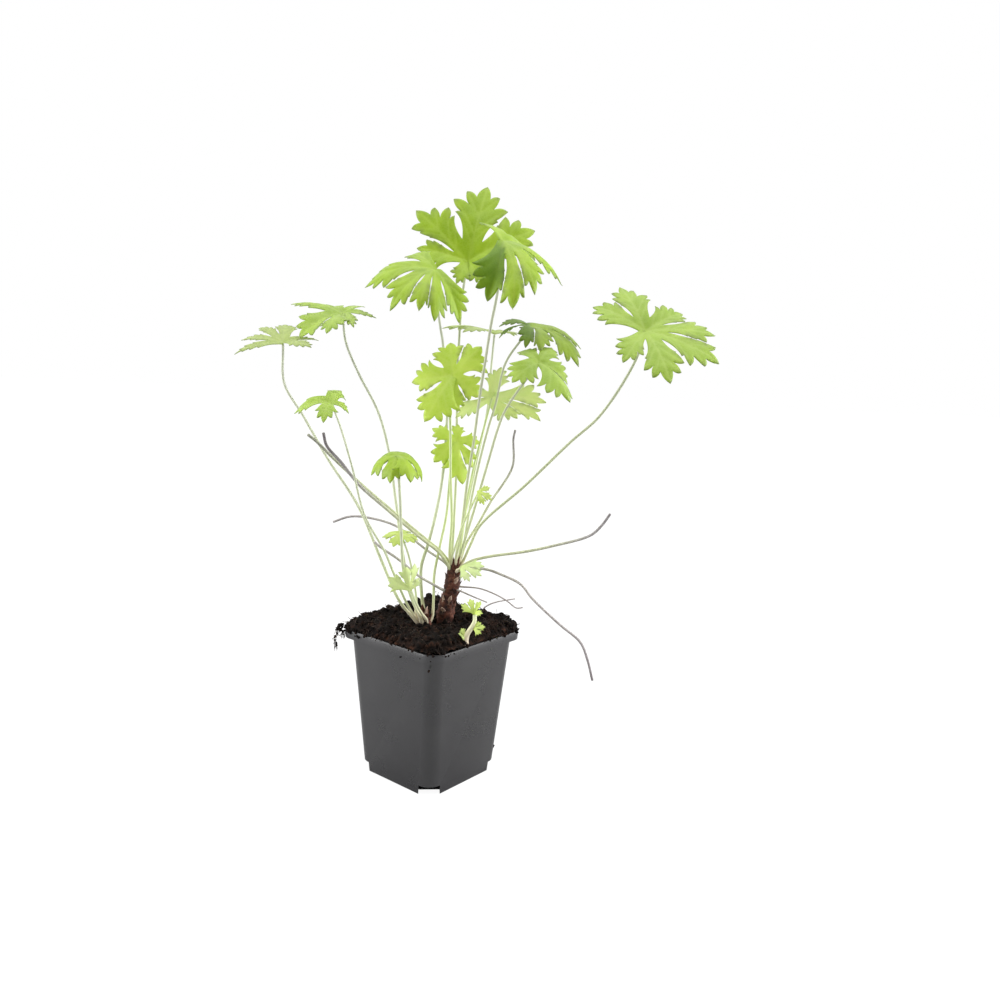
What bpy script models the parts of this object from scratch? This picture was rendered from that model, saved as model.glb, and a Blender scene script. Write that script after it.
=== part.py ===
"""A hardy geranium growing in its square nursery pot.

The origin is the middle of the pot's base, +Z is up, and -Y is the front, where a corner of the pot points.
Lengths are written in millimetres and turned into metres by MM as the meshes are made.
"""
import math

import bmesh
import bpy
from mathutils import Matrix, Vector

MM = 0.001
FIT_GAP = 0.35

# The pot: a 9 cm square pot, 10 cm tall, with thin walls and a turned-out lip
POT_TURN = math.radians(46.4)
POT_HEIGHT = 100.0
POT_LIP_UNDERSIDE = 94.0
POT_WALL = 1.1
POT_BASE_HALF = 33.6
POT_BASE_CORNER = 9.7
POT_TOP_HALF = 40.8
POT_TOP_CORNER = 8.0
POT_LIP_HALF = 45.0
POT_LIP_CORNER = 9.0
POT_LIP_DRAFT = 0.4
DRAIN_HEIGHT = 6.2
DRAIN_WIDTH = 14.0
DRAIN_DEPTH = 26.0
CORNER_STEPS = 5

# The soil: it fills the pot, spreads over the lip and is heaped along the edge, with a hollow at the
# plant's foot. Each pair of the profile is how far in from the edge, and how high.
SOIL_OVER_LIP = 45.7
SOIL_CORNER = 12.0
SOIL_PROFILE = ((0.0, 101.8), (3.0, 104.6), (9.0, 107.0), (17.0, 106.0), (26.0, 104.2))
SOIL_NECK = 0.6
SOIL_LEDGE = 0.2
SOIL_SKIRT = 0.1

# The crown: a woody, upright rhizome, and a short side shoot at its foot
CROWN_ROUTE = (
    ((6.0, 4, 90), 5.0), ((7.0, 4, 98), 6.0), ((8.3, 4, 108), 6.4), ((9.6, 4, 116), 6.0),
    ((11.4, 4, 124), 5.5), ((12.5, 4, 131), 5.7), ((13.2, 4, 137), 5.3), ((13.5, 4, 142), 4.7),
    ((13.7, 4, 146), 3.0),
)
SHOOT_ROUTE = (
    ((-4.0, -4, 94), 4.6), ((-5.2, -4.5, 100), 5.4), ((-6.0, -5, 105), 5.2), ((-6.4, -5, 107.6), 4.0),
    ((-6.6, -5, 109), 2.4),
)

# The blades, with half a lobe's margin as its teeth: where the rib leaves the midrib, how far along the lobe
# it ends, and how far out, as shares of the lobe's length. The reach is that of the notch between two lobes.
BLADE_THICKNESS = 0.5
LARGE_TEETH = ((0.40, 0.62, 1.00), (0.55, 0.68, 0.60), (0.70, 0.87, 0.62), (0.82, 0.90, 0.28))
SMALL_TEETH = ((0.42, 0.64, 1.00), (0.66, 0.74, 0.50))
NOTCH_REACH = 0.30
FIRST_RIB = 0.20
WIDEST_SHARE = 0.46
OUTER_HEEL = (0.20, 0.12)

# How round the tubes are: the bevel resolution of a curve, which gives 6 and 10 sides
STEM_ROUNDNESS = 1
STOCK_ROUNDNESS = 3
CAP_WELD = 0.00001

SOIL_COLOUR = (0.020, 0.014, 0.011)
POT_COLOUR = (0.085, 0.086, 0.088)
CROWN_COLOUR = (0.085, 0.030, 0.018)
LEAF_COLOUR = (0.33, 0.52, 0.06)
STEM_COLOUR = (0.45, 0.52, 0.24)
DEAD_COLOUR = (0.30, 0.27, 0.26)
ROOT_COLOUR = (0.40, 0.33, 0.28)


def clear_scene():
    for obj in list(bpy.data.objects):
        bpy.data.objects.remove(obj, do_unlink=True)


def new_collection(name):
    collection = bpy.data.collections.new(name)
    bpy.context.scene.collection.children.link(collection)
    return collection


def new_material(name, colour, roughness):
    material = bpy.data.materials.new(name)
    material.use_nodes = True
    shader = material.node_tree.nodes["Principled BSDF"]
    shader.inputs["Base Color"].default_value = (*colour, 1.0)
    shader.inputs["Roughness"].default_value = roughness
    shader.inputs["Metallic"].default_value = 0.0
    material.diffuse_color = (*colour, 1.0)
    return material


def add_object(name, data, collection, colour, roughness):
    obj = bpy.data.objects.new(name, data)
    collection.objects.link(obj)
    obj.data.materials.append(new_material(name + "_finish", colour, roughness))
    return obj


def hide_cutter(obj):
    obj.hide_render = True
    obj.display_type = "WIRE"


def cut(obj, cutter):
    modifier = obj.modifiers.new("cut_" + cutter.name, "BOOLEAN")
    modifier.object = cutter
    modifier.operation = "DIFFERENCE"
    modifier.solver = "EXACT"


def mesh_from_curve(curve_object):
    """The curve's tube as a mesh object of the same name, with its end caps welded on."""
    graph = bpy.context.evaluated_depsgraph_get()
    mesh = bpy.data.meshes.new_from_object(curve_object.evaluated_get(graph))
    bm = bmesh.new()
    bm.from_mesh(mesh)
    bmesh.ops.remove_doubles(bm, verts=bm.verts, dist=CAP_WELD)
    bmesh.ops.recalc_face_normals(bm, faces=bm.faces)
    bm.to_mesh(mesh)
    bm.free()
    name = curve_object.name
    collection = curve_object.users_collection[0]
    bpy.data.objects.remove(curve_object)
    mesh.name = name
    obj = bpy.data.objects.new(name, mesh)
    collection.objects.link(obj)
    mesh.shade_smooth()
    return obj


def square_ring(half, corner, height):
    """The points of a rounded square, anticlockwise, turned as the pot is."""
    points = []
    for quarter in range(4):
        middle = POT_TURN + quarter * math.pi / 2 + math.pi / 4
        centre = (half - corner) * math.sqrt(2)
        for step in range(CORNER_STEPS + 1):
            angle = middle + (step / CORNER_STEPS - 0.5) * math.pi / 2
            x = centre * math.cos(middle) + corner * math.cos(angle)
            y = centre * math.sin(middle) + corner * math.sin(angle)
            points.append(Vector((x, y, height)))
    return points


def loft(name, rings, close_top):
    """A mesh through rings of equal count, closed flat at its lowest ring."""
    bm = bmesh.new()
    rows = [[bm.verts.new(point * MM) for point in ring] for ring in rings]
    count = len(rows[0])
    bm.faces.new(reversed(rows[0]))
    for lower, upper in zip(rows, rows[1:]):
        for k in range(count):
            after = (k + 1) % count
            bm.faces.new((lower[k], lower[after], upper[after], upper[k]))
    if close_top:
        bm.faces.new(rows[-1])
    mesh = bpy.data.meshes.new(name)
    bm.to_mesh(mesh)
    bm.free()
    return mesh


def wall_at(height):
    """Half width and corner radius of the pot's outer wall at a height."""
    share = height / POT_LIP_UNDERSIDE
    half = POT_BASE_HALF + (POT_TOP_HALF - POT_BASE_HALF) * share
    corner = POT_BASE_CORNER + (POT_TOP_CORNER - POT_BASE_CORNER) * share
    return half, corner


def make_drain_cutters(collection):
    """One box at each corner of the base, which opens the corner of the floor and of the wall."""
    cutters = []
    for quarter in range(4):
        angle = POT_TURN + quarter * math.pi / 2 + math.pi / 4
        reach = POT_BASE_HALF * math.sqrt(2)
        bpy.ops.mesh.primitive_cube_add(size=1)
        box = bpy.context.active_object
        box.name = f"drain_cutter_{quarter + 1}"
        box.location = Vector((reach * math.cos(angle), reach * math.sin(angle), 0)) * MM
        box.rotation_euler = (0, 0, angle)
        box.scale = Vector((DRAIN_DEPTH, DRAIN_WIDTH, 2 * DRAIN_HEIGHT)) * MM
        for holder in list(box.users_collection):
            holder.objects.unlink(box)
        collection.objects.link(box)
        hide_cutter(box)
        cutters.append(box)
    return cutters


def make_pot(collection, drains):
    base = square_ring(POT_BASE_HALF, POT_BASE_CORNER, 0)
    wall_top = square_ring(POT_TOP_HALF, POT_TOP_CORNER, POT_LIP_UNDERSIDE)
    lip_low = square_ring(POT_LIP_HALF - POT_LIP_DRAFT, POT_LIP_CORNER, POT_LIP_UNDERSIDE)
    lip_high = square_ring(POT_LIP_HALF, POT_LIP_CORNER, POT_HEIGHT)
    mesh = loft("pot", (base, wall_top, lip_low, lip_high), close_top=False)
    pot = add_object("pot", mesh, collection, POT_COLOUR, 0.45)
    shell = pot.modifiers.new("wall", "SOLIDIFY")
    shell.thickness = POT_WALL * MM
    shell.offset = -1
    shell.use_even_offset = True
    for drain in drains:
        cut(pot, drain)


def make_soil(collection, drains, sockets):
    clear = POT_WALL + FIT_GAP
    low = clear + SOIL_SKIRT
    base_half, base_corner = wall_at(low)
    top_half, top_corner = wall_at(POT_LIP_UNDERSIDE)
    ledge = POT_LIP_UNDERSIDE + clear
    lip_inside = POT_LIP_HALF - POT_LIP_DRAFT - clear
    over = POT_HEIGHT + FIT_GAP
    rings = [
        square_ring(base_half - clear, base_corner - clear, low),
        square_ring(top_half - clear, top_corner - clear, ledge - SOIL_NECK),
        square_ring(top_half - clear, top_corner - clear, ledge),
        square_ring(lip_inside, POT_LIP_CORNER - clear, ledge + SOIL_LEDGE),
        square_ring(lip_inside, POT_LIP_CORNER - clear, over),
        square_ring(SOIL_OVER_LIP, SOIL_CORNER, over + SOIL_SKIRT),
    ]
    for inset, height in SOIL_PROFILE:
        rings.append(square_ring(SOIL_OVER_LIP - inset, SOIL_CORNER, height))
    mesh = loft("soil", rings, close_top=True)
    soil = add_object("soil", mesh, collection, SOIL_COLOUR, 0.95)
    for cutter in (*drains, *sockets):
        cut(soil, cutter)


def smooth_route(points, samples):
    """Points spread along the smooth curve that runs through the given ones."""
    route = [Vector(point) for point in points]
    ends = [route[0] * 2 - route[1], *route, route[-1] * 2 - route[-2]]
    spans = len(route) - 1
    result = []
    for k in range(samples + 1):
        place = min(k * spans / samples, spans - 1e-6)
        i = int(place)
        t = place - i
        p0, p1, p2, p3 = ends[i:i + 4]
        point = 2 * p1 + (p2 - p0) * t
        point += (2 * p0 - 5 * p1 + 4 * p2 - p3) * t * t
        point += (3 * p1 - p0 - 3 * p2 + p3) * t ** 3
        result.append(point / 2)
    return result


def make_tube(name, points, radii, collection, colour, roundness=STEM_ROUNDNESS):
    """A round tube along the points, one radius for each, with filled ends."""
    curve = bpy.data.curves.new(name, "CURVE")
    curve.dimensions = "3D"
    curve.bevel_depth = MM
    curve.bevel_resolution = roundness
    curve.use_fill_caps = True
    spline = curve.splines.new("POLY")
    spline.points.add(len(points) - 1)
    for spot, point, radius in zip(spline.points, points, radii):
        spot.co = (*(point * MM), 1)
        spot.radius = radius
    return add_object(name, curve, collection, colour, 0.6)


def make_rootstock(name, route, parts, cutters):
    """Makes a woody stock and returns the slightly larger cutter that leaves the fit gap round it."""
    points = [Vector(point) for point, radius in route]
    radii = [radius for point, radius in route]
    make_tube(name, points, radii, parts, CROWN_COLOUR, STOCK_ROUNDNESS)
    lift = Vector((0, 0, FIT_GAP))
    longer = [points[0] - lift, *points[1:-1], points[-1] + lift]
    return grown_cutter(name, longer, radii, cutters, STOCK_ROUNDNESS)


def grown_cutter(name, points, radii, cutters, roundness=STEM_ROUNDNESS):
    """A tube larger by the fit gap, which cuts the room for a stem or a stock out of its neighbour."""
    grown = [radius + FIT_GAP for radius in radii]
    tube = make_tube(name + "_cutter", points, grown, cutters, CROWN_COLOUR, roundness)
    cutter = mesh_from_curve(tube)
    hide_cutter(cutter)
    return cutter


def make_stem(name, points, thick, colour, parts, cutter=None):
    """A stem that thins towards its end. One that grows from a stock starts inside it, and is trimmed."""
    samples = 2 * (len(points) - 1)
    route = smooth_route(points, samples)
    base, tip = thick
    radii = [(base + (tip - base) * k / samples) / 2 for k in range(samples + 1)]
    stem = make_tube(name, route, radii, parts, colour)
    if cutter is not None:
        finish = stem.data.materials[0]
        stem = mesh_from_curve(stem)
        stem.data.materials.clear()
        stem.data.materials.append(finish)
        cut(stem, cutter)


def make_rooted_stem(name, points, thick, colour, parts, cutters):
    """Makes a stem whose foot stands in the soil and returns the cutter for its socket there."""
    make_stem(name, points, thick, colour, parts)
    foot = smooth_route(points, 2 * (len(points) - 1))[:3]
    foot[0] -= (foot[1] - foot[0]).normalized() * FIT_GAP
    return grown_cutter(name, foot, [thick[0] / 2] * len(foot), cutters)


def blade_normal(tips):
    """The way that the upper side of a leaf faces, from its lobes' tips in order."""
    total = Vector()
    for first, second in zip(tips, tips[1:]):
        total += first.cross(second)
    return total.normalized()


def midrib(tip, normal, arch, distance):
    """A place on a lobe's midrib, which bows up between the hub and the tip by arch times its length."""
    length = tip.length
    share = distance / length
    up = (normal - tip * (normal.dot(tip) / length ** 2)).normalized()
    return tip * share + up * (arch * length * 4 * share * (1 - share))


def on_blade(tips, normal, arch, lobe, along, aside):
    """The place on the blade of a point given along a lobe's midrib and to one side of it.

    Between two midribs the blade swings from one to the other, so the whole leaf is one curved sheet.
    """
    distance = math.hypot(along, aside)
    turn = math.atan2(aside, along)
    here = midrib(tips[lobe], normal, arch, distance)
    other = lobe + (1 if turn > 0 else -1)
    if 0 <= other < len(tips):
        share = abs(turn) / tips[lobe].angle(tips[other])
        beside = midrib(tips[other], normal, arch, distance)
        length = here.length * (1 - share) + beside.length * share
        return here.normalized().slerp(beside.normalized(), share) * length
    axis = (normal - here * (normal.dot(here) / here.length_squared)).normalized()
    return Matrix.Rotation(turn, 3, axis) @ here


def make_leaf(name, hub, tips, parts, arch=0.10, width=0.27, teeth=LARGE_TEETH):
    """A palmate blade: lobes round a hub, joined near it and toothed beyond, as a thin closed shell."""
    tips = [Vector(tip) for tip in tips]
    normal = blade_normal(tips)
    bm = bmesh.new()

    def vertex(lobe, along, aside):
        place = Vector(hub) + on_blade(tips, normal, arch, lobe, along, aside)
        return bm.verts.new(place * MM)

    centre = bm.verts.new(Vector(hub) * MM)
    notches = []
    for k, (first, second) in enumerate(zip(tips, tips[1:])):
        reach = NOTCH_REACH * min(first.length, second.length)
        half_gap = first.angle(second) / 2
        notches.append(vertex(k, reach * math.cos(half_gap), reach * math.sin(half_gap)))
    for lobe, tip in enumerate(tips):
        length = tip.length
        ribs = [vertex(lobe, FIRST_RIB * length, 0)]
        ribs += [vertex(lobe, start * length, 0) for start, along, out in teeth]
        ribs.append(vertex(lobe, length, 0))
        for side in (1, -1):
            other = lobe + side
            inner = 0 <= other < len(tips)
            if inner:
                margin = [notches[min(lobe, other)]]
                widest = math.tan(WIDEST_SHARE * tip.angle(tips[other]))
            else:
                heel_along, heel_out = OUTER_HEEL
                margin = [vertex(lobe, heel_along * length, side * heel_out * length)]
                widest = 1.0
            for start, along, out in teeth:
                aside = min(out * width, along * widest)
                margin.append(vertex(lobe, along * length, side * aside * length))
            fan = [(centre, ribs[0], margin[0])]
            for k in range(len(margin) - 1):
                fan.append((ribs[k], ribs[k + 1], margin[k + 1], margin[k]))
            fan.append((ribs[-2], ribs[-1], margin[-1]))
            for corners in fan:
                bm.faces.new(corners if side > 0 else corners[::-1])
    mesh = bpy.data.meshes.new(name)
    bm.to_mesh(mesh)
    bm.free()
    leaf = add_object(name, mesh, parts, LEAF_COLOUR, 0.5)
    shell = leaf.modifiers.new("blade", "SOLIDIFY")
    shell.thickness = BLADE_THICKNESS * MM
    shell.offset = 0


def under_hub(hub, tips, before, radius):
    """Where a petiole ends: just clear of the underside of its blade, whatever way the petiole comes."""
    normal = blade_normal([Vector(tip) for tip in tips])
    way = (Vector(hub) - Vector(before)).normalized()
    slant = math.sqrt(max(0.0, 1 - way.dot(normal) ** 2))
    return Vector(hub) - normal * (BLADE_THICKNESS / 2 + FIT_GAP + radius * slant)


# Leaves on petioles: the hub, and the lobes' tips as steps from the hub in order round the blade from its
# open notch, anticlockwise seen from above. Then where the petiole grows from, how thick it is at its foot
# and under the blade, and its route up to the blade.
LEAVES = {
    "far_left": dict(
        hub=(-103, 5, 288), arch=0.08, width=0.25,
        tips=((21, -17, -2), (22, 7, 3), (-4, 31, 14), (-20, 25, 11), (-28, 3, 2), (-27, -17, -9)),
        foot="side_shoot", thick=(2.2, 1.6),
        route=((-8, -5.5, 103), (-13, -6.4, 108.5), (-23, -8, 121), (-34, -6, 144), (-52, -1, 183),
               (-73, 2, 214), (-90, 5, 242), (-102, 5, 262)),
    ),
    "left_back": dict(
        hub=(-67, 25, 310), arch=0.10, width=0.25,
        tips=((10, -23, -10), (23, -5, -2), (13, 21, 7), (-12, 27, 5), (-37, 13, 6), (-26, -19, -18),
              (-7, -29, -15)),
        foot="side_shoot", thick=(2.2, 1.6),
        route=((-7.5, -3.5, 103), (-10, -0.6, 109), (-14, 0, 120), (-21, 4, 146), (-28, 13, 186),
               (-34, 21, 219), (-42, 25, 245), (-56, 26, 271), (-65, 26, 292)),
    ),
    "left_small": dict(
        hub=(-67, -25, 251), arch=0.16, width=0.30, teeth=SMALL_TEETH,
        tips=((10, 5, -6), (4, 19, 8), (-24, 1, -7), (-3, -19, -11)),
        foot="side_shoot", thick=(1.8, 1.3),
        route=((-7.5, -6.5, 103), (-11, -9.6, 108.5), (-18, -10, 120), (-27, -13, 141), (-33, -16, 156),
               (-46, -20, 180), (-54, -24, 211), (-61, -26, 235)),
    ),
    "left_umbrella": dict(
        hub=(-25, -36, 221), arch=0.20, width=0.30, teeth=SMALL_TEETH,
        tips=((9, -15, -15), (16, -1, -16), (8, 21, -7), (-10, 21, -7), (-16, -1, -13), (-4, -15, -16)),
        foot="side_shoot", thick=(2.4, 1.8),
        route=((-6.6, -7, 103), (-8, -11.2, 109), (-15, -12, 125), (-20, -16, 142), (-22, -25, 170),
               (-23, -31, 192)),
    ),
    "low_left": dict(
        hub=(-23, 0, 165), arch=0.08, width=0.26, teeth=SMALL_TEETH,
        tips=((10, -12, -3), (12, -3, -3), (5, 8, 1), (-13, -2, -2), (-5, -12, -6)),
        foot="side_shoot", thick=(1.7, 1.3),
        route=((-8, -4.5, 104), (-11.6, -3.4, 111), (-11.5, -2.6, 119), (-14, -1, 135), (-18, 0, 151)),
    ),
    "upper_left": dict(
        hub=(-6, 15, 341), arch=0.16, width=0.27,
        tips=((-18, 21, 11), (-46, -1, -14), (-28, -23, -30), (-9, -31, -30), (1, -29, -36), (18, -9, -35)),
        foot="side_shoot", thick=(2.4, 1.7),
        route=((-6, -3, 103), (-6.2, 0.6, 109.5), (-8.5, 3, 125), (-9, 4, 142), (-5, 6, 157), (-1, 9, 174),
               (3, 15, 198), (5, 21, 228), (5, 25, 261), (1, 24, 293), (-2, 22, 309)),
    ),
    "low_centre": dict(
        hub=(12, 15, 228), arch=0.08, width=0.28, teeth=SMALL_TEETH,
        tips=((5, -9, -29), (12, -3, -18), (17, 2, -1), (1, 8, 11), (-17, 4, 8), (-15, -5, -15)),
        foot="side_shoot", thick=(2.0, 1.5),
        route=((-4.5, -4.5, 103), (-0.8, -3.4, 108.5), (0, -1, 120), (0, 2, 137), (3, 6, 155),
               (7, 11, 177), (9, 16, 208)),
    ),
    "folded": dict(
        hub=(-15, -18, 131), arch=0.05, width=0.28, teeth=SMALL_TEETH,
        tips=((5, 1, 8), (2, -1, 18), (-4, -6, 17), (-15, -5, 9)),
        foot="side_shoot", thick=(2.0, 1.6),
        route=((-5, -7, 103), (-4.4, -10.4, 108.5), (-7.5, -14.5, 114), (-11, -17, 121)),
    ),
    "top": dict(
        hub=(17, 58, 353), arch=0.08, width=0.27,
        tips=((12, -11, -16), (48, 5, 25), (13, 17, 56), (-38, 11, 35), (-37, 3, 8), (-8, -11, -17)),
        foot="crown", thick=(1.8, 1.8),
        route=((13.1, 5, 141), (11.8, 7.5, 149), (12.3, 14, 167), (13, 25, 206), (12.5, 37, 240),
               (12, 48, 276), (13, 57, 310), (14, 59, 331)),
    ),
    "top_right": dict(
        hub=(36, -20, 356), arch=0.14, width=0.27,
        tips=((-9, -16, -39), (6, -26, -44), (20, -20, -34), (40, 2, -25), (21, 28, -8), (-13, 22, 13)),
        foot="crown", thick=(1.8, 1.8),
        route=((13.9, 3, 141), (14.4, 0.1, 149), (17, -3.5, 168), (20, -7, 204), (23, -9.5, 229),
               (26, -14, 262), (29, -17, 288), (31, -19, 305), (34, -20, 324)),
    ),
    "right_dark": dict(
        hub=(60, 12, 306), arch=0.16, width=0.27,
        tips=((-23, -12, -1), (-6, -24, -15), (4, -28, -16), (31, -18, -25), (34, -2, -13), (23, 22, -5),
              (-21, 15, -7)),
        foot="crown", thick=(1.7, 1.5),
        route=((14.9, 4, 141), (17.7, 4.2, 149), (19.5, 4.5, 158), (23, 6, 185), (29, 9, 218),
               (34, 10, 240), (38, 10, 255), (43, 9, 281), (53, 11, 297)),
    ),
    "right_front": dict(
        hub=(62, -22, 282), arch=0.12, width=0.30,
        tips=((19, -18, -24), (19, -2, -13), (10, 16, 11), (-10, 16, 8), (-18, -14, -13)),
        foot="crown", thick=(1.8, 1.6),
        route=((14.6, 3.3, 141), (16.85, 1.5, 149), (19, -2, 159), (25, -6, 183), (33, -12, 217),
               (38, -15, 238), (42, -16, 250), (50, -19, 264)),
    ),
    "centre": dict(
        hub=(8, 5, 272), arch=0.06, width=0.30,
        tips=((4, -3, -24), (18, -1, -14), (19, 7, 20), (-2, 11, 22), (-27, 1, -6), (-18, -11, -31)),
        foot="crown", thick=(1.8, 1.8),
        route=((12.9, 3.4, 141), (10.2, 2, 149), (10.6, 2, 175), (9, 2, 202), (8, 3, 229), (7, 4, 256)),
    ),
    "pale_back": dict(
        hub=(36, 30, 258), arch=0.08, width=0.27,
        tips=((39, 0, -2), (37, 14, -16), (21, 22, -15), (-25, 0, -15), (-14, -4, 3), (5, -14, 21)),
        foot="crown", thick=(1.7, 1.5),
        route=((14.5, 4.8, 141), (16.7, 6.7, 149), (18, 9, 160), (21, 14, 187), (26, 22, 214),
               (31, 27, 235)),
    ),
    "edge_back": dict(
        hub=(37, 42, 302), arch=0.06, width=0.27,
        tips=((24, 0, -1), (16, 20, 1), (-10, 18, 3), (-37, 6, 3), (-23, -16, 0)),
        foot="crown", thick=(1.7, 1.5),
        route=((14.1, 5.1, 141), (14.7, 7.9, 149), (16, 12, 160), (21, 20, 180), (28, 36, 214),
               (34.5, 49, 249), (36, 47, 280)),
    ),
    "low_right": dict(
        hub=(27, -13, 197), arch=0.10, width=0.32, teeth=SMALL_TEETH,
        tips=((4, -7, -8), (9, -5, -5), (8, -1, 3)),
        foot="crown", thick=(1.5, 1.2),
        route=((13, 2.8, 140), (11.4, 0.2, 148), (13.5, -4.5, 158), (18.5, -9, 175), (24, -12, 189)),
    ),
    "far_right": dict(
        hub=(131, -15, 305), arch=0.08, width=0.27,
        tips=((-18, -21, -21), (10, -33, -33), (44, -21, -19), (45, -5, -1), (29, 17, 14), (-12, 31, 31),
              (-32, 19, 16)),
        foot="crown", thick=(1.9, 1.8),
        route=((15, 4.3, 138), (18.9, 5, 145), (24, 3.5, 158), (30, 1, 172), (59, -4, 201),
               (87, -8, 231), (106, -10, 250), (126, -14, 286)),
    ),
    "beside_crown": dict(
        hub=(17.5, -5, 144), arch=0.10, width=0.30, teeth=SMALL_TEETH,
        tips=((6, -11, -7), (14, -11, -3), (16, -5, 2)),
        foot="crown", thick=(1.6, 1.2),
        route=((14.2, 1.5, 139), (15.4, -1.2, 141), (16.4, -3, 142.2)),
    ),
}

# Old petioles that were cut back, and fine roots on the crown: no blade, and dry towards the end
BARE_STEMS = {
    "cut_petiole_long_right": dict(
        thick=(2.0, 1.8),
        route=((15, 2.5, 137), (18.6, 0.8, 143), (24, 0.3, 147), (35, 0, 150.5), (62, -4, 156),
               (79, -8, 161), (103, -14, 170), (110, -15, 177), (115, -16, 185)),
    ),
    "cut_petiole_hanging": dict(
        thick=(1.8, 1.7),
        route=((14.5, 3, 133), (19, 1.5, 140), (24, 1, 142), (35, 0, 142), (45, -6, 140), (58, -12, 135),
               (66, -15, 126), (85, -22, 110), (98, -26, 100), (103, -28, 89), (107, -29, 75)),
    ),
    "cut_petiole_upright": dict(
        thick=(1.8, 1.6),
        route=((14.5, 5, 138), (17.6, 7.8, 146), (21, 9.5, 157), (29, 11.5, 171), (37, 14, 186),
               (52, 20, 211), (52, 23, 230), (53, 23, 236)),
    ),
    "cut_petiole_left_dark": dict(
        thick=(2.2, 1.9),
        route=((12, 3, 139), (8.6, 0.2, 145), (3, -4, 153.5), (-11, -8, 165), (-33, -13, 184),
               (-50, -16, 199), (-62, -18, 214), (-71, -18, 224), (-73, -19, 232)),
    ),
    "cut_petiole_left_pale": dict(
        thick=(2.2, 1.9),
        route=((12, 4, 141), (9, 3.9, 146.3), (3, 1.5, 154), (-4, 1.5, 159.5), (-20, 3, 172), (-26, 3, 177),
               (-49, -2, 197), (-68, -7, 215), (-79, -9, 226), (-84, -10, 230)),
    ),
    "cut_petiole_left_low": dict(
        thick=(1.7, 1.6),
        route=((12, 5, 137), (8, 7, 143.5), (-4, 10.5, 151), (-10, 12, 155), (-27, 17, 167), (-48, 21, 172),
               (-60, 22, 172), (-71, 22, 168)),
    ),
    "cut_petiole_left_short": dict(
        thick=(1.7, 1.6),
        route=((9, 3, 125), (5, 0, 127.5), (0, -3, 131), (-10, -4.5, 137), (-24, -8, 149),
               (-36, -10.5, 157.5), (-40, -11, 161)),
    ),
    "root_long": dict(
        thick=(1.1, 0.9),
        route=((14, 3, 129), (19, 1.5, 129), (31, -2, 129), (42, -6, 126), (50, -8, 122), (56, -10, 118),
               (60, -12, 119)),
    ),
    "root_short": dict(
        thick=(1.1, 0.9),
        route=((14, 1.5, 127), (18, -1, 126.6), (26, -4, 124), (36, -8, 121)),
    ),
}

# Stems that stand in the soil on their own
ROOTED_STEMS = {
    "root_in_soil": dict(
        thick=(1.1, 0.9), colour=ROOT_COLOUR,
        route=((34.5, 21, 102), (36, 22, 108.5), (42.5, 22.5, 112.5), (58, 24, 115.5)),
    ),
    "seedling_stem": dict(
        thick=(3.0, 1.8), colour=STEM_COLOUR,
        route=((20.2, -38.6, 98), (21.6, -39.4, 107), (23.8, -39.6, 111), (26.5, -39, 116)),
    ),
}
SEEDLING = dict(
    hub=(26.3, -38, 121.5), arch=0.10, width=0.32, teeth=SMALL_TEETH,
    tips=((5, -6, 2), (4, 2, 8), (-3, 4, 9), (-9, 0, 6)),
)


def main():
    clear_scene()
    parts = new_collection("hardy_geranium")
    cutters = new_collection("cutters")
    drains = make_drain_cutters(cutters)
    make_pot(parts, drains)
    stocks = {
        "crown": make_rootstock("crown", CROWN_ROUTE, parts, cutters),
        "side_shoot": make_rootstock("side_shoot", SHOOT_ROUTE, parts, cutters),
    }

    for name, leaf in LEAVES.items():
        blade = {key: leaf[key] for key in ("hub", "tips", "arch", "width", "teeth") if key in leaf}
        make_leaf("leaf_" + name, parts=parts, **blade)
        end = under_hub(leaf["hub"], leaf["tips"], leaf["route"][-1], leaf["thick"][1] / 2)
        make_stem("petiole_" + name, (*leaf["route"], end), leaf["thick"], STEM_COLOUR, parts,
                  stocks[leaf["foot"]])
    for name, stem in BARE_STEMS.items():
        colour = ROOT_COLOUR if name.startswith("root") else DEAD_COLOUR
        make_stem(name, stem["route"], stem["thick"], colour, parts, stocks["crown"])

    sockets = list(stocks.values())
    for name, stem in ROOTED_STEMS.items():
        route = stem["route"]
        if name == "seedling_stem":
            route = (*route, under_hub(SEEDLING["hub"], SEEDLING["tips"], route[-1], stem["thick"][1] / 2))
        sockets.append(make_rooted_stem(name, route, stem["thick"], stem["colour"], parts, cutters))
    make_leaf("seedling_leaf", parts=parts, **SEEDLING)
    make_soil(parts, drains, sockets)


main()
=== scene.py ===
"""A young hardy geranium in its square nursery pot, on a white studio surface."""
import math
import random

import bmesh
import bpy
import numpy as np
from mathutils import Matrix, Vector, geometry, kdtree, noise


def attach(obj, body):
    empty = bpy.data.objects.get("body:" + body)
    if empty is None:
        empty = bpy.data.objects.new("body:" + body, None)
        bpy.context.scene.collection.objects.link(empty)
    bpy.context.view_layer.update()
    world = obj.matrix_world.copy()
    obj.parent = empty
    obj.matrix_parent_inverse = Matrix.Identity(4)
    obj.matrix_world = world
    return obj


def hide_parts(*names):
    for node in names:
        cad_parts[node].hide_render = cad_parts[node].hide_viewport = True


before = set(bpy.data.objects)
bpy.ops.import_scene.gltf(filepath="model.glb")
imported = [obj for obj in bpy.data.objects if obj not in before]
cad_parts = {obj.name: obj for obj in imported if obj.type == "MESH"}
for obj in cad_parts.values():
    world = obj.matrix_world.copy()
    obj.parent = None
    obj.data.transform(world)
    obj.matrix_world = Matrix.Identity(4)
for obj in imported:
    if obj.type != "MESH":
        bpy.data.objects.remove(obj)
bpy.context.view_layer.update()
bpy.ops.object.select_all(action="DESELECT")

MM = 0.001


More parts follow.
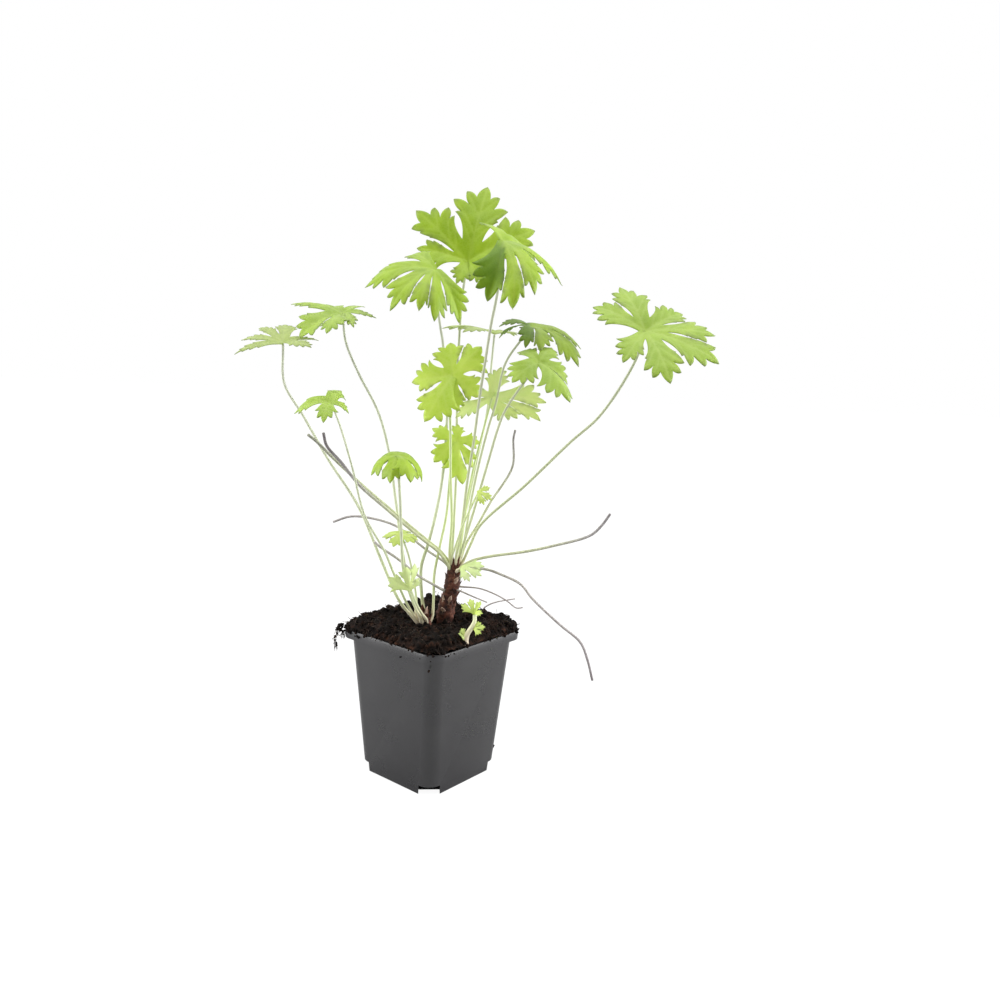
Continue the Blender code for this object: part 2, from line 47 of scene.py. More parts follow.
# The studio: a white surface under a large softbox, with one softbox at each side of the pot. The room is
# white all round but dim at the front, so the corner of the pot that points forward stays dark.
CAMERA_PLACE = (0.0, -0.560, 0.268)
CAMERA_PITCH = -0.138
CAMERA_YAW = -0.076
CAMERA_ROLL = -0.0416
FOCAL_LENGTH = 30.24
SENSOR = 36.0
ROOM_LIGHT = 1.44
ROOM_DIM = 0.08
DIM_FROM, DIM_TO = -0.92, -0.30
SURFACE_SIZE = 30.0
SURFACE_GREY = (0.34, 0.34, 0.345, 1)
SURFACE_GLOW = 1.27
GLOW_SHARE = 0.74
SOFTBOXES = (
    ("top_softbox", (0.1, -0.1, 1.5), (0, 0, 0.1), 1.6, 14.0),
    ("left_softbox", (-1.2, -0.10, 0.40), (0, 0, 0.12), 1.0, 16.5),
    ("right_softbox", (1.2, -0.05, 0.38), (0, 0, 0.12), 1.0, 19.0),
)


def add_object(name, data):
    obj = bpy.data.objects.new(name, data)
    bpy.context.scene.collection.objects.link(obj)
    return obj


def add_camera():
    data = bpy.data.cameras.new("photo_camera")
    data.sensor_width = SENSOR
    data.lens = FOCAL_LENGTH
    data.clip_start = 0.01
    camera = add_object("photo_camera", data)
    looks_up = Matrix.Rotation(math.pi / 2, 4, "X")
    turn = Matrix.Rotation(CAMERA_YAW, 4, "Z") @ Matrix.Rotation(CAMERA_PITCH, 4, "X")
    roll = Matrix.Rotation(CAMERA_ROLL, 4, "Y")
    camera.matrix_world = Matrix.Translation(CAMERA_PLACE) @ turn @ roll @ looks_up
    bpy.context.scene.camera = camera


def add_softbox(name, place, aim, size, power):
    data = bpy.data.lights.new(name, "AREA")
    data.shape = "RECTANGLE"
    data.size = data.size_y = size
    data.energy = power
    lamp = add_object(name, data)
    lamp.location = place
    lamp.rotation_euler = (Vector(aim) - Vector(place)).to_track_quat("-Z", "Y").to_euler()


def add_node(tree, kind, values=(), **settings):
    """A shader node with its own settings, and with values for its sockets."""
    node = tree.nodes.new("ShaderNode" + kind)
    for setting, value in settings.items():
        setattr(node, setting, value)
    for socket, value in dict(values).items():
        node.inputs[socket].default_value = value
    return node


def wire(tree, *pairs):
    """Links each output to its input."""
    for output, socket in pairs:
        tree.links.new(output, socket)


def new_finish(name, roughness, specular=0.5, more=()):
    """A new material. More holds other values of its shader by socket name."""
    material = bpy.data.materials.new(name)
    material.use_nodes = True
    values = {"Roughness": roughness, "Specular IOR Level": specular, **dict(more)}
    for socket, value in values.items():
        material.node_tree.nodes["Principled BSDF"].inputs[socket].default_value = value
    return material


def light_the_room():
    world = bpy.data.worlds.new("white_room")
    bpy.context.scene.world = world
    world.use_nodes = True
    tree = world.node_tree
    tree.nodes.clear()
    out = add_node(tree, "OutputWorld")
    seen = add_node(tree, "Background", {"Color": (1, 1, 1, 1), "Strength": 1.0})
    lit = add_node(tree, "Background")
    path = add_node(tree, "LightPath")
    mix = add_node(tree, "MixShader")
    place = add_node(tree, "TexCoord")
    part = add_node(tree, "SeparateXYZ")
    reach = {"From Min": DIM_FROM, "From Max": DIM_TO, "To Min": ROOM_DIM, "To Max": ROOM_LIGHT}
    ramp = add_node(tree, "MapRange", reach, interpolation_type="SMOOTHSTEP")
    wire(
        tree, (place.outputs["Generated"], part.inputs[0]), (part.outputs["Y"], ramp.inputs["Value"]),
        (ramp.outputs[0], lit.inputs["Strength"]), (path.outputs["Is Camera Ray"], mix.inputs[0]),
        (lit.outputs[0], mix.inputs[1]), (seen.outputs[0], mix.inputs[2]), (mix.outputs[0], out.inputs[0]))


def lay_surface():
    bpy.ops.mesh.primitive_plane_add(size=SURFACE_SIZE)
    surface = bpy.context.active_object
    surface.name = "white_surface"
    material = new_finish("white_surface", 0.7, 0.2, {"Base Color": SURFACE_GREY})
    tree = material.node_tree
    glow = add_node(tree, "Emission", {"Strength": SURFACE_GLOW})
    path = add_node(tree, "LightPath")
    share = add_node(tree, "Math", {1: GLOW_SHARE}, operation="MULTIPLY")
    mix = add_node(tree, "MixShader")
    wire(
        tree, (path.outputs["Is Camera Ray"], share.inputs[0]), (share.outputs[0], mix.inputs[0]),
        (tree.nodes["Principled BSDF"].outputs[0], mix.inputs[1]), (glow.outputs[0], mix.inputs[2]),
        (mix.outputs[0], tree.nodes["Material Output"].inputs[0]))
    surface.data.materials.append(material)


add_camera()
light_the_room()
lay_surface()
for softbox in SOFTBOXES:
    add_softbox(*softbox)
bpy.context.scene.view_settings.view_transform = "Standard"
bpy.context.scene.view_settings.look = "None"


# The pot: one square pot of thin dark grey plastic, blow-formed in a tapered mould. A lip is turned out
# along its top, and a drain notch opens each corner of its base.
POT_TURN = math.radians(46.4)
POT_HEIGHT = 100.0
LIP_UNDERSIDE = 94.0
BASE_HALF = 33.6
TOP_HALF = 40.8
LIP_HALF = 45.0
LIP_DRAFT = 0.4
CORNER_ROUND = 9.4
CORNER_STEPS = 12
EDGE_ROUND = 0.35
WALL = 1.1
DRAIN_SIZE = (26.0, 14.0, 12.4)


def select_only(obj):
    bpy.ops.object.select_all(action="DESELECT")
    obj.select_set(True)
    bpy.context.view_layer.objects.active = obj


def pick(obj, kind, wanted):
    """In edit mode, selects only the faces or the edges that the test picks."""
    mesh = bmesh.from_edit_mesh(obj.data)
    bpy.ops.mesh.select_all(action="DESELECT")
    for part in getattr(mesh, kind):
        if wanted(part):
            part.select_set(True)
    bmesh.update_edit_mesh(obj.data)


def is_top(face):
    return face.normal.z > 0.9


def is_upright(edge):
    return abs(edge.verts[0].co.z - edge.verts[1].co.z) > LIP_UNDERSIDE / 2 * MM


def add_modifier(obj, name, kind, **settings):
    modifier = obj.modifiers.new(name, kind)
    for setting, value in settings.items():
        setattr(modifier, setting, value)


def apply_modifiers(obj, cutters=()):
    """Applies every modifier, then removes the objects that cut."""
    select_only(obj)
    for modifier in list(obj.modifiers):
        bpy.ops.object.modifier_apply(modifier=modifier.name)
    for cutter in cutters:
        bpy.data.objects.remove(cutter)
    select_only(obj)


def grain_group():
    """Fine surface unevenness in two sizes: a mask for colour and a height for bump."""
    group = bpy.data.node_groups.new("surface_grain", "ShaderNodeTree")
    for name, value in (("Coarse Scale", 60.0), ("Fine Scale", 900.0), ("Fine Share", 0.4)):
        socket = group.interface.new_socket(name, in_out="INPUT", socket_type="NodeSocketFloat")
        socket.default_value = value
    for name in ("Mask", "Height"):
        group.interface.new_socket(name, in_out="OUTPUT", socket_type="NodeSocketFloat")
    given, result = (group.nodes.new("NodeGroup" + end) for end in ("Input", "Output"))
    place = add_node(group, "TexCoord")
    coarse = add_node(group, "TexNoise", {"Detail": 6.0, "Roughness": 0.6})
    fine = add_node(group, "TexNoise", {"Detail": 3.0})
    blend = add_node(group, "Mix", data_type="FLOAT")
    for texture, socket in ((coarse, "Coarse Scale"), (fine, "Fine Scale")):
        wire(
            group, (place.outputs["Object"], texture.inputs["Vector"]),
            (given.outputs[socket], texture.inputs["Scale"]))
    wire(
        group, (given.outputs["Fine Share"], blend.inputs["Factor"]),
        (coarse.outputs["Fac"], blend.inputs[2]), (fine.outputs["Fac"], blend.inputs[3]),
        (coarse.outputs["Fac"], result.inputs["Mask"]), (blend.outputs[0], result.inputs["Height"]))
    return group


GRAIN = grain_group()


def add_grain(material, coarse, fine, share):
    values = {"Coarse Scale": coarse, "Fine Scale": fine, "Fine Share": share}
    return add_node(material.node_tree, "Group", values, node_tree=GRAIN)


def feed(material, socket, output):
    """Links an output to the material's own shader."""
    wire(material.node_tree, (output, material.node_tree.nodes["Principled BSDF"].inputs[socket]))


def add_bump(material, height, strength, distance):
    """Feeds a height into the shader's normal, with the distance in metres."""
    bump = add_node(material.node_tree, "Bump", {"Strength": strength, "Distance": distance})
    wire(material.node_tree, (height, bump.inputs["Height"]))
    feed(material, "Normal", bump.outputs[0])


def add_ramp(material, factor, stops):
    """A colour ramp over a factor, with (place, colour) stops."""
    ramp = add_node(material.node_tree, "ValToRGB")
    while len(ramp.color_ramp.elements) < len(stops):
        ramp.color_ramp.elements.new(0.5)
    for element, (place, colour) in zip(ramp.color_ramp.elements, stops):
        element.position = place
        element.color = (*colour, 1)
    wire(material.node_tree, (factor, ramp.inputs["Fac"]))
    return ramp.outputs["Color"]


def grained_finish(name, roughness, specular, grain, stops, bump):
    """A finish whose colour and height follow its grain. Returns it with the grain and the colour."""
    material = new_finish(name, roughness, specular)
    unevenness = add_grain(material, *grain)
    colour = add_ramp(material, unevenness.outputs["Mask"], stops)
    feed(material, "Base Color", colour)
    add_bump(material, unevenness.outputs["Height"], *bump)
    return material, unevenness, colour


def pot_plastic():
    material, grain, _ = grained_finish("pot_plastic", 0.36, 0.95, (38.0, 2200.0, 0.35), (
        (0.30, (0.016, 0.0155, 0.017)), (0.52, (0.020, 0.0195, 0.021)), (0.72, (0.026, 0.0255, 0.027)),
    ), (0.12, 0.0006))
    gloss = add_node(
        material.node_tree, "MapRange", {"From Min": 0.3, "From Max": 0.7, "To Min": 0.25, "To Max": 0.34})
    wire(material.node_tree, (grain.outputs["Mask"], gloss.inputs["Value"]))
    feed(material, "Roughness", gloss.outputs[0])
    return material


def cut_drains(obj):
    """Cuts the four corners of the base away, and returns the boxes that do so until they are applied."""
    cutters = []
    for quarter in range(4):
        angle = POT_TURN + math.pi / 4 + quarter * math.pi / 2
        reach = BASE_HALF * math.sqrt(2) * MM
        bpy.ops.mesh.primitive_cube_add(
            size=1, location=(reach * math.cos(angle), reach * math.sin(angle), 0), rotation=(0, 0, angle))
        cutter = bpy.context.active_object
        cutter.scale = Vector(DRAIN_SIZE) * MM
        cutters.append(cutter)
        add_modifier(obj, "drain", "BOOLEAN", object=cutter, solver="EXACT")
    return cutters


def make_pot():
    bpy.ops.mesh.primitive_cube_add(
        size=1, location=(0, 0, LIP_UNDERSIDE / 2 * MM), rotation=(0, 0, POT_TURN))
    pot = bpy.context.active_object
    pot.name = "nursery_pot"
    pot.scale = Vector((2 * BASE_HALF, 2 * BASE_HALF, LIP_UNDERSIDE)) * MM
    bpy.ops.object.transform_apply(location=True, rotation=True, scale=True)
    bpy.ops.object.mode_set(mode="EDIT")
    pick(pot, "faces", is_top)
    taper = TOP_HALF / BASE_HALF
    bpy.ops.transform.resize(value=(taper, taper, 1))
    pick(pot, "edges", is_upright)
    bpy.ops.mesh.bevel(offset=CORNER_ROUND * MM, offset_type="OFFSET", segments=CORNER_STEPS, affect="EDGES")
    pick(pot, "faces", is_top)
    lip_foot = LIP_HALF - LIP_DRAFT
    for below, half, rise in ((TOP_HALF, lip_foot, 0.0), (lip_foot, LIP_HALF, POT_HEIGHT - LIP_UNDERSIDE)):
        bpy.ops.mesh.extrude_region_move(TRANSFORM_OT_translate={"value": (0, 0, rise * MM)})
        grow = half / below
        bpy.ops.transform.resize(value=(grow, grow, 1))
    bpy.ops.mesh.delete(type="FACE")
    bpy.ops.object.mode_set(mode="OBJECT")
    add_modifier(pot, "wall", "SOLIDIFY", thickness=WALL * MM, offset=-1, use_even_offset=True)
    cutters = cut_drains(pot)
    add_modifier(
        pot, "soft_edges", "BEVEL", width=EDGE_ROUND * MM, segments=2, limit_method="ANGLE",
        angle_limit=math.radians(40))
    apply_modifiers(pot, cutters)
    bpy.ops.object.shade_smooth_by_angle(angle=math.radians(35))
    pot.data.materials.append(pot_plastic())
    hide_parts("pot")
    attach(pot, "root")


make_pot()


# The soil: moist dark peat compost that fills the pot. It is heaped unevenly along the edge, spills over
# the lip in places, and sinks to a hollow at the foot of the plant.
SOIL_HALF = 44.6
SOIL_CORNER = 12.5
SOIL_STEPS = 150
SOIL_EDGE = 100.3
SOIL_LUMPS = ((17.0, 2.2), (7.5, 2.1), (3.6, 1.6), (1.7, 0.8))
SOIL_PROFILE = (
    (0.0, 100.5), (1.6, 103.0), (5.0, 105.4), (9.0, 107.0), (17.0, 106.0), (27.0, 104.2), (60.0, 104.0))
SOIL_BACK_RISE = 1.2
SOIL_SEED = 3.0
SOIL_FILL = ((LIP_HALF - 2.0, 100.4), (TOP_HALF - 1.6, 95.0), (BASE_HALF - 1.6, 1.5))


def rounded_square(half, corner, angle):
    """The distance from the middle to the edge of a rounded square, along an angle from its flat side."""
    x, y = abs(math.cos(angle)), abs(math.sin(angle))
    if x < y:
        x, y = y, x
    flat = half - corner
    if y / x * half <= flat:
        return half / x
    along = flat * (x + y)
    return along + math.sqrt(max(0.0, along * along - 2 * flat * flat + corner * corner))


def spot_at(out, angle):
    """A place at a distance from the middle, along an angle from the pot's flat side."""
    return out * math.cos(angle + POT_TURN), out * math.sin(angle + POT_TURN)


def lumps(x, y):
    """Height of the crumbly top of the compost in millimetres, from clods down to crumbs."""
    total = 0.0
    for size, tall in SOIL_LUMPS:
        total += tall * noise.noise(Vector((x / size, y / size, SOIL_SEED + size)))
    return total


def profile_height(inset):
    """Height of the heap at a distance in from the soil's edge."""
    for (near, low), (far, high) in zip(SOIL_PROFILE, SOIL_PROFILE[1:]):
        if inset <= far:
            share = (inset - near) / (far - near)
            share = share * share * (3 - 2 * share)
            return low + (high - low) * share
    return SOIL_PROFILE[-1][1]


def soil_surface(x, y):
    """Height of the soil at a place on it, in millimetres."""
    angle = math.atan2(y, x) - POT_TURN
    reach = rounded_square(SOIL_HALF, SOIL_CORNER, angle)
    inset = max(0.0, reach - math.hypot(x, y))
    back = SOIL_BACK_RISE * max(0.0, y / 60.0)
    return profile_height(inset) + back + lumps(x, y) * min(1.0, 0.35 + inset / 4.0)


PEAT = grained_finish("peat", 0.95, 0.12, (210.0, 1500.0, 0.45), (
    (0.30, (0.003, 0.0022, 0.0018)), (0.48, (0.007, 0.0048, 0.0038)), (0.60, (0.018, 0.0090, 0.0060)),
    (0.74, (0.060, 0.025, 0.013)),
), (0.9, 0.0016))[0]


def make_soil():
    bpy.ops.mesh.primitive_grid_add(x_subdivisions=SOIL_STEPS, y_subdivisions=SOIL_STEPS, size=2)
    soil = bpy.context.active_object
    soil.name = "compost"
    for vertex in soil.data.vertices:
        u, v = vertex.co.x, vertex.co.y
        share = max(abs(u), abs(v))
        angle = math.atan2(v, u)
        edge = rounded_square(SOIL_HALF, SOIL_CORNER, angle)
        edge += 0.9 * noise.noise(Vector((3.1 * math.cos(angle), 3.1 * math.sin(angle), 5.0)))
        edge += 0.5 * noise.noise(Vector((9 * math.cos(angle), 9 * math.sin(angle), 8.0)))
        x, y = spot_at(edge * share, angle)
        height = soil_surface(x, y)
        vertex.co = Vector((x, y, max(height, SOIL_EDGE))) * MM
    bpy.ops.object.mode_set(mode="EDIT")
    bpy.ops.mesh.select_all(action="SELECT")
    bpy.ops.mesh.region_to_loop()
    half, height = SOIL_HALF, SOIL_EDGE
    for next_half, next_height in SOIL_FILL:
        bpy.ops.mesh.extrude_edges_move(TRANSFORM_OT_translate={"value": (0, 0, (next_height - height) * MM)})
        shrink = next_half / half
        bpy.ops.transform.resize(value=(shrink, shrink, 1))
        half, height = next_half, next_height
    bpy.ops.mesh.edge_face_add()
    bpy.ops.mesh.select_all(action="SELECT")
    bpy.ops.mesh.normals_make_consistent(inside=False)
    bpy.ops.object.mode_set(mode="OBJECT")
    apply_modifiers(soil, cut_drains(soil))
    bpy.ops.object.shade_smooth()
    soil.data.materials.append(PEAT)
    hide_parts("soil")
    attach(soil, "root")


make_soil()


# Loose crumbs and fibres of peat: they lie all over the soil, hang over the lip, stick to the wall, and a
# clump of them hangs from the left corner. They are small rough grains and short bent threads.
CRUMB_COUNT = 1300
SPILL_COUNT = 420
SPILL_TURN = math.radians(137)
SPILL_TOP, SPILL_DROP = 101.4, 5.5
FIBRE_COUNT = 420
FIBRE_STEPS = 6
CRUMB_EDGE_SHARE, FIBRE_EDGE_SHARE = 0.22, 0.3
LIES_FLAT, HANGS = 0.12, 0.6


def rough_grains(seed, count):
    """A few rough grain shapes of about unit size, as vertex and face arrays."""
    rng = random.Random(seed)
    shapes = []
    for k in range(count):
        grain = bmesh.new()
        bmesh.ops.create_cube(grain, size=2.0)
        bmesh.ops.subdivide_edges(grain, edges=grain.edges[:], cuts=1, use_grid_fill=True)
        stretch = Vector((rng.uniform(0.7, 1.3), rng.uniform(0.7, 1.3), rng.uniform(0.6, 1.0)))
        for vertex in grain.verts:
            vertex.co.normalize()
            dent = 1 + 0.42 * noise.noise(vertex.co * 1.7 + Vector((k * 7.0, 0, 0)))
            dent += 0.25 * noise.noise(vertex.co * 3.9 + Vector((0, k * 5.0, 0)))
            vertex.co = Vector(a * b for a, b in zip(vertex.co * dent, stretch))
        grain.verts.index_update()
        corners = np.array([[v.index for v in face.verts] for face in grain.faces])
        shapes.append((np.array([v.co[:] for v in grain.verts]), corners))
        grain.free()
    return shapes


def turned(rng):
    """A random turn as a matrix."""
    spin = [rng.gauss(0, 1) for _ in range(4)]
    size = math.sqrt(sum(s * s for s in spin))
    w, x, y, z = (s / size for s in spin)
    return np.array((
        (1 - 2 * (y * y + z * z), 2 * (x * y - w * z), 2 * (x * z + w * y)),
        (2 * (x * y + w * z), 1 - 2 * (x * x + z * z), 2 * (y * z - w * x)),
        (2 * (x * z - w * y), 2 * (y * z + w * x), 1 - 2 * (x * x + y * y)),
    ))


def mesh_object(name, points, faces, finish):
    """An object at the origin from points in millimetres."""
    mesh = bpy.data.meshes.new(name)
    mesh.from_pydata((np.asarray(points) * MM).tolist(), [], [list(map(int, face)) for face in faces])
    mesh.update()
    obj = add_object(name, mesh)
    mesh.materials.append(finish)
    mesh.shade_smooth()
    return obj


def soil_spot(rng, edge_share):
    """A random place on the soil, more often near its edge for a larger edge share."""
    angle = rng.uniform(0, 2 * math.pi)
    reach = rounded_square(SOIL_HALF, SOIL_CORNER, angle)
    out = reach * math.sqrt(rng.uniform(0, 1))
    if rng.random() < edge_share:
        out = reach * rng.uniform(0.90, 1.01)
    return spot_at(out, angle)


# Clods in the clump that hangs from the left corner, and grains stuck to the wall: place and size
LEFT_CLUMP = (
    ((-61.5, -1.5, 101.5), 1.9), ((-63.4, -1.8, 100.4), 1.5), ((-64.2, -1.6, 98.6), 1.3),
    ((-62.4, -2.2, 98.2), 1.6), ((-64.6, -1.8, 95.6), 1.1), ((-65.6, -2.0, 93.4), 0.9),
    ((-65.8, -2.2, 91.0), 0.95), ((-65.0, -2.0, 88.8), 1.1), ((-64.7, -2.2, 87.4), 0.8),
    ((-60.6, -2.4, 96.9), 1.1), ((-59.9, -2.4, 95.0), 0.8), ((-59.0, -3.0, 97.8), 0.9),
)
WALL_GRAINS = (
    ((-1.6, -54.9, 88.5), 0.9), ((44.6, -12.8, 93.0), 0.8), ((45.0, 0.6, 14.5), 1.2),
    ((-20.0, -37.3, 91.5), 0.7),
)


def scatter_crumbs():
    rng = random.Random(41)
    shapes = rough_grains(5, 9)
    coarse_shapes = rough_grains(9, 3)
    points, faces, start = [], [], 0

    def drop(place, size, shapes_here):
        nonlocal start
        shape, corners = rng.choice(shapes_here)
        placed = shape * size @ turned(rng).T + np.array(place)
        points.append(placed)
        faces.append(corners + start)
        start += len(shape)

    for _ in range(CRUMB_COUNT):
        x, y = soil_spot(rng, CRUMB_EDGE_SHARE)
        size = min(2.9, 0.45 + rng.expovariate(1.8))
        drop((x, y, soil_surface(x, y) + 0.15 * size), size, shapes)
    for k in range(SPILL_COUNT):
        angle = rng.uniform(0, 2 * math.pi) if k % 3 else rng.gauss(SPILL_TURN, 0.16)
        if noise.noise(Vector((2.2 * math.cos(angle), 2.2 * math.sin(angle), 30.0))) < -0.05 and k % 3:
            continue
        out = rounded_square(LIP_HALF, SOIL_CORNER, angle) + rng.uniform(-1.0, 0.9)
        down = rng.expovariate(0.9)
        drop((*spot_at(out, angle), SPILL_TOP - min(down, SPILL_DROP)), rng.uniform(0.3, 1.2), shapes)
    for place, size in (*LEFT_CLUMP, *WALL_GRAINS):
        drop(place, size, coarse_shapes)
        for _ in range(3):
            near = [value + rng.gauss(0, 0.8) for value in place]
            if (place, size) not in WALL_GRAINS:
                drop(near, size * rng.uniform(0.3, 0.6), shapes)
    crumbs = mesh_object("compost_crumbs", np.concatenate(points), np.concatenate(faces), PEAT)
    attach(crumbs, "root")


def tube_faces(rings, sides):
    """The faces of a closed tube, from its rings of vertices in order."""
    faces = []
    for k in range(rings - 1):
        low, high = k * sides, (k + 1) * sides
        for side in range(sides):
            after = (side + 1) % sides
            faces.append((low + side, low + after, high + after, high + side))
    last = (rings - 1) * sides
    return [*faces, tuple(range(sides - 1, -1, -1)), tuple(range(last, last + sides))]


def way_along(points, k):
    """The way that a line of points runs at one of them."""
    return (points[min(k + 1, len(points) - 1)] - points[max(k - 1, 0)]).normalized()


def ways_round(ahead, across, sides):
    """The ways out from a line, in order round it."""
    up = ahead.cross(across)
    angles = [2 * math.pi * side / sides for side in range(sides)]
    return [across * math.cos(angle) + up * math.sin(angle) for angle in angles]


def thread(points, radius, sides=4):
    """Vertices and faces of a thin bent thread through the points, tapered at both ends."""
    ring_points = []
    for k, point in enumerate(points):
        ahead = way_along(points, k)
        share = k / (len(points) - 1)
        here = radius * (0.35 + 0.65 * math.sin(math.pi * min(max(share, 0.05), 0.95)))
        for way in ways_round(ahead, ahead.orthogonal().normalized(), sides):
            ring_points.append(point + way * here)
    return ring_points, tube_faces(len(points), sides)


def scatter_fibres():
    rng = random.Random(77)
    points, faces = [], []
    finish = grained_finish("peat_fibre", 0.85, 0.3, (500.0, 2500.0, 0.4), (
        (0.35, (0.012, 0.008, 0.006)), (0.55, (0.040, 0.024, 0.017)), (0.75, (0.10, 0.062, 0.042)),
    ), (0.5, 0.0002))[0]

    def lay(start, way, length, radius, droop):
        place, way = Vector(start), Vector(way).normalized()
        route = [place.copy()]
        for _ in range(FIBRE_STEPS):
            way = (way + Vector([rng.gauss(0, 0.34) for _ in range(3)]) + Vector((0, 0, -droop))).normalized()
            place = place + way * (length / FIBRE_STEPS)
            if math.hypot(place.x, place.y) < 50 and droop == LIES_FLAT:
                place.z = max(place.z, soil_surface(place.x, place.y) + 0.1)
            route.append(place.copy())
        ring_points, ring_faces = thread(route, radius)
        base = len(points)
        points.extend(ring_points)
        faces.extend(tuple(base + k for k in face) for face in ring_faces)

    for _ in range(FIBRE_COUNT):
        x, y = soil_spot(rng, FIBRE_EDGE_SHARE)
        way = (rng.gauss(0, 1), rng.gauss(0, 1), rng.uniform(-0.2, 0.8))
        length, radius = rng.uniform(2.5, 9.0), rng.uniform(0.12, 0.32)
        lay((x, y, soil_surface(x, y) + 0.2), way, length, radius, LIES_FLAT)
    for place, size in LEFT_CLUMP:
        for _ in range(4):
            way = (rng.gauss(-0.3, 0.6), rng.gauss(0, 0.5), rng.gauss(-0.6, 0.5))
            lay(place, way, rng.uniform(2.0, 5.5), rng.uniform(0.14, 0.3), HANGS)
    fibres = mesh_object("compost_fibres", [p[:] for p in points], faces, finish)
    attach(fibres, "root")


scatter_crumbs()
scatter_fibres()


# The crown: the woody upright rhizome in the middle, and a short side shoot at its left foot. Both are
# red-brown, rough with old leaf scars, and wrapped in dry pointed scales, some of them pale as paper.
CROWN_ROUTE = (
    ((6.0, 4, 90), 5.0), ((7.0, 4, 98), 6.0), ((8.3, 4, 108), 6.4), ((9.6, 4, 116), 6.0),
    ((11.4, 4, 124), 5.5), ((12.5, 4, 131), 5.7), ((13.2, 4, 137), 5.3), ((13.5, 4, 142), 4.7),
    ((13.7, 4, 146), 3.0),
)
SHOOT_ROUTE = (
    ((-4.0, -4, 94), 4.6), ((-5.2, -4.5, 100), 5.4), ((-6.0, -5, 105), 5.2), ((-6.4, -5, 107.6), 4.0),
    ((-6.6, -5, 109), 2.4),
)


def smooth_route(points, samples):
    """Points spread along the smooth curve that runs through the given ones, with no loop at a short span."""
    route = [Vector(point) for point in points]
    ends = [route[0] * 2 - route[1], *route, route[-1] * 2 - route[-2]]
    spans = len(route) - 1
    result = []
    for k in range(samples + 1):
        place = min(k * spans / samples, spans - 1e-6)
        i = int(place)
        near = ends[i:i + 4]
        knots = [0.0]
        for first, second in zip(near, near[1:]):
            knots.append(knots[-1] + max(1e-4, (second - first).length) ** 0.5)
        t = knots[1] + (place - i) * (knots[2] - knots[1])
        for pairs in (((0, 1), (1, 2), (2, 3)), ((0, 2), (1, 3)), ((1, 2),)):
            near = [
                first.lerp(second, (t - knots[a]) / (knots[b] - knots[a]))
                for first, second, (a, b) in zip(near, near[1:], pairs)]
        result.append(near[0])
    return result


def round_stem(name, points, radii, finish, sides=14, rough=0.0, seed=0.0):
    """A stem with round ends along the points. Rough is how far its skin goes up and down, in millimetres."""
    rings = []
    across = (points[1] - points[0]).orthogonal().normalized()
    count = len(points)
    # Each station is a point's number, how far past it in radii, and its share of the radius
    stations = [(k, 0.0, 1.0) for k in range(count)]
    stations = [(0, -0.5, 0.30), (0, -0.35, 0.75), *stations, (count - 1, 0.35, 0.75), (count - 1, 0.5, 0.30)]
    for k, beyond, narrow in stations:
        ahead = way_along(points, k)
        across = (across - ahead * across.dot(ahead)).normalized()
        middle = points[k] + ahead * radii[k] * beyond
        for way in ways_round(ahead, across, sides):
            radius = radii[k] * narrow
            if rough:
                place = middle + way * radius
                radius += rough * noise.noise(place * 0.55 + Vector((seed, 0, 0)))
                radius += 0.5 * rough * noise.noise(place * 1.4 + Vector((0, seed, 0)))
            rings.append((middle + way * radius)[:])
    return mesh_object(name, rings, tube_faces(len(stations), sides), finish)


def let_light_through(material, colour, share):
    """Mixes a translucent shader into the finish of a thin tissue."""
    tree = material.node_tree
    through = add_node(tree, "BsdfTranslucent")
    both = add_node(tree, "MixShader", {0: share})
    wire(
        tree, (colour, through.inputs["Color"]), (tree.nodes["Principled BSDF"].outputs[0], both.inputs[1]),
        (through.outputs[0], both.inputs[2]), (both.outputs[0], tree.nodes["Material Output"].inputs[0]))


def papery_finish(name, dark, light):
    """Dry scale tissue, thin enough to let a little light through."""
    stops = ((0.35, dark), (0.68, light))
    material, _, colour = grained_finish(name, 0.65, 0.35, (420.0, 2600.0, 0.5), stops, (0.5, 0.0004))
    let_light_through(material, colour, 0.25)
    return material


BARK = grained_finish("rootstock_bark", 0.72, 0.35, (260.0, 1400.0, 0.4), (
    (0.30, (0.014, 0.006, 0.005)), (0.45, (0.050, 0.016, 0.010)), (0.58, (0.120, 0.036, 0.020)),
    (0.72, (0.24, 0.10, 0.06)),
), (0.8, 0.0012))[0]
DARK_SCALE = papery_finish("dark_scale", (0.045, 0.014, 0.009), (0.20, 0.075, 0.042))
PALE_SCALE = papery_finish("pale_scale", (0.30, 0.17, 0.12), (0.72, 0.55, 0.44))
SCALE_THICKNESS = 0.22
SCALE_STEPS, SCALE_ACROSS = 7, 5


def make_stock(name, route, node, rings):
    points = smooth_route([point for point, radius in route], rings)
    radii = [step.x for step in smooth_route([(radius, 0, 0) for point, radius in route], rings)]
    stock = round_stem(name, points, [radius * 0.92 for radius in radii], BARK, 28, 0.9, 4.0)
    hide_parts(node)
    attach(stock, "root")
    return points, radii


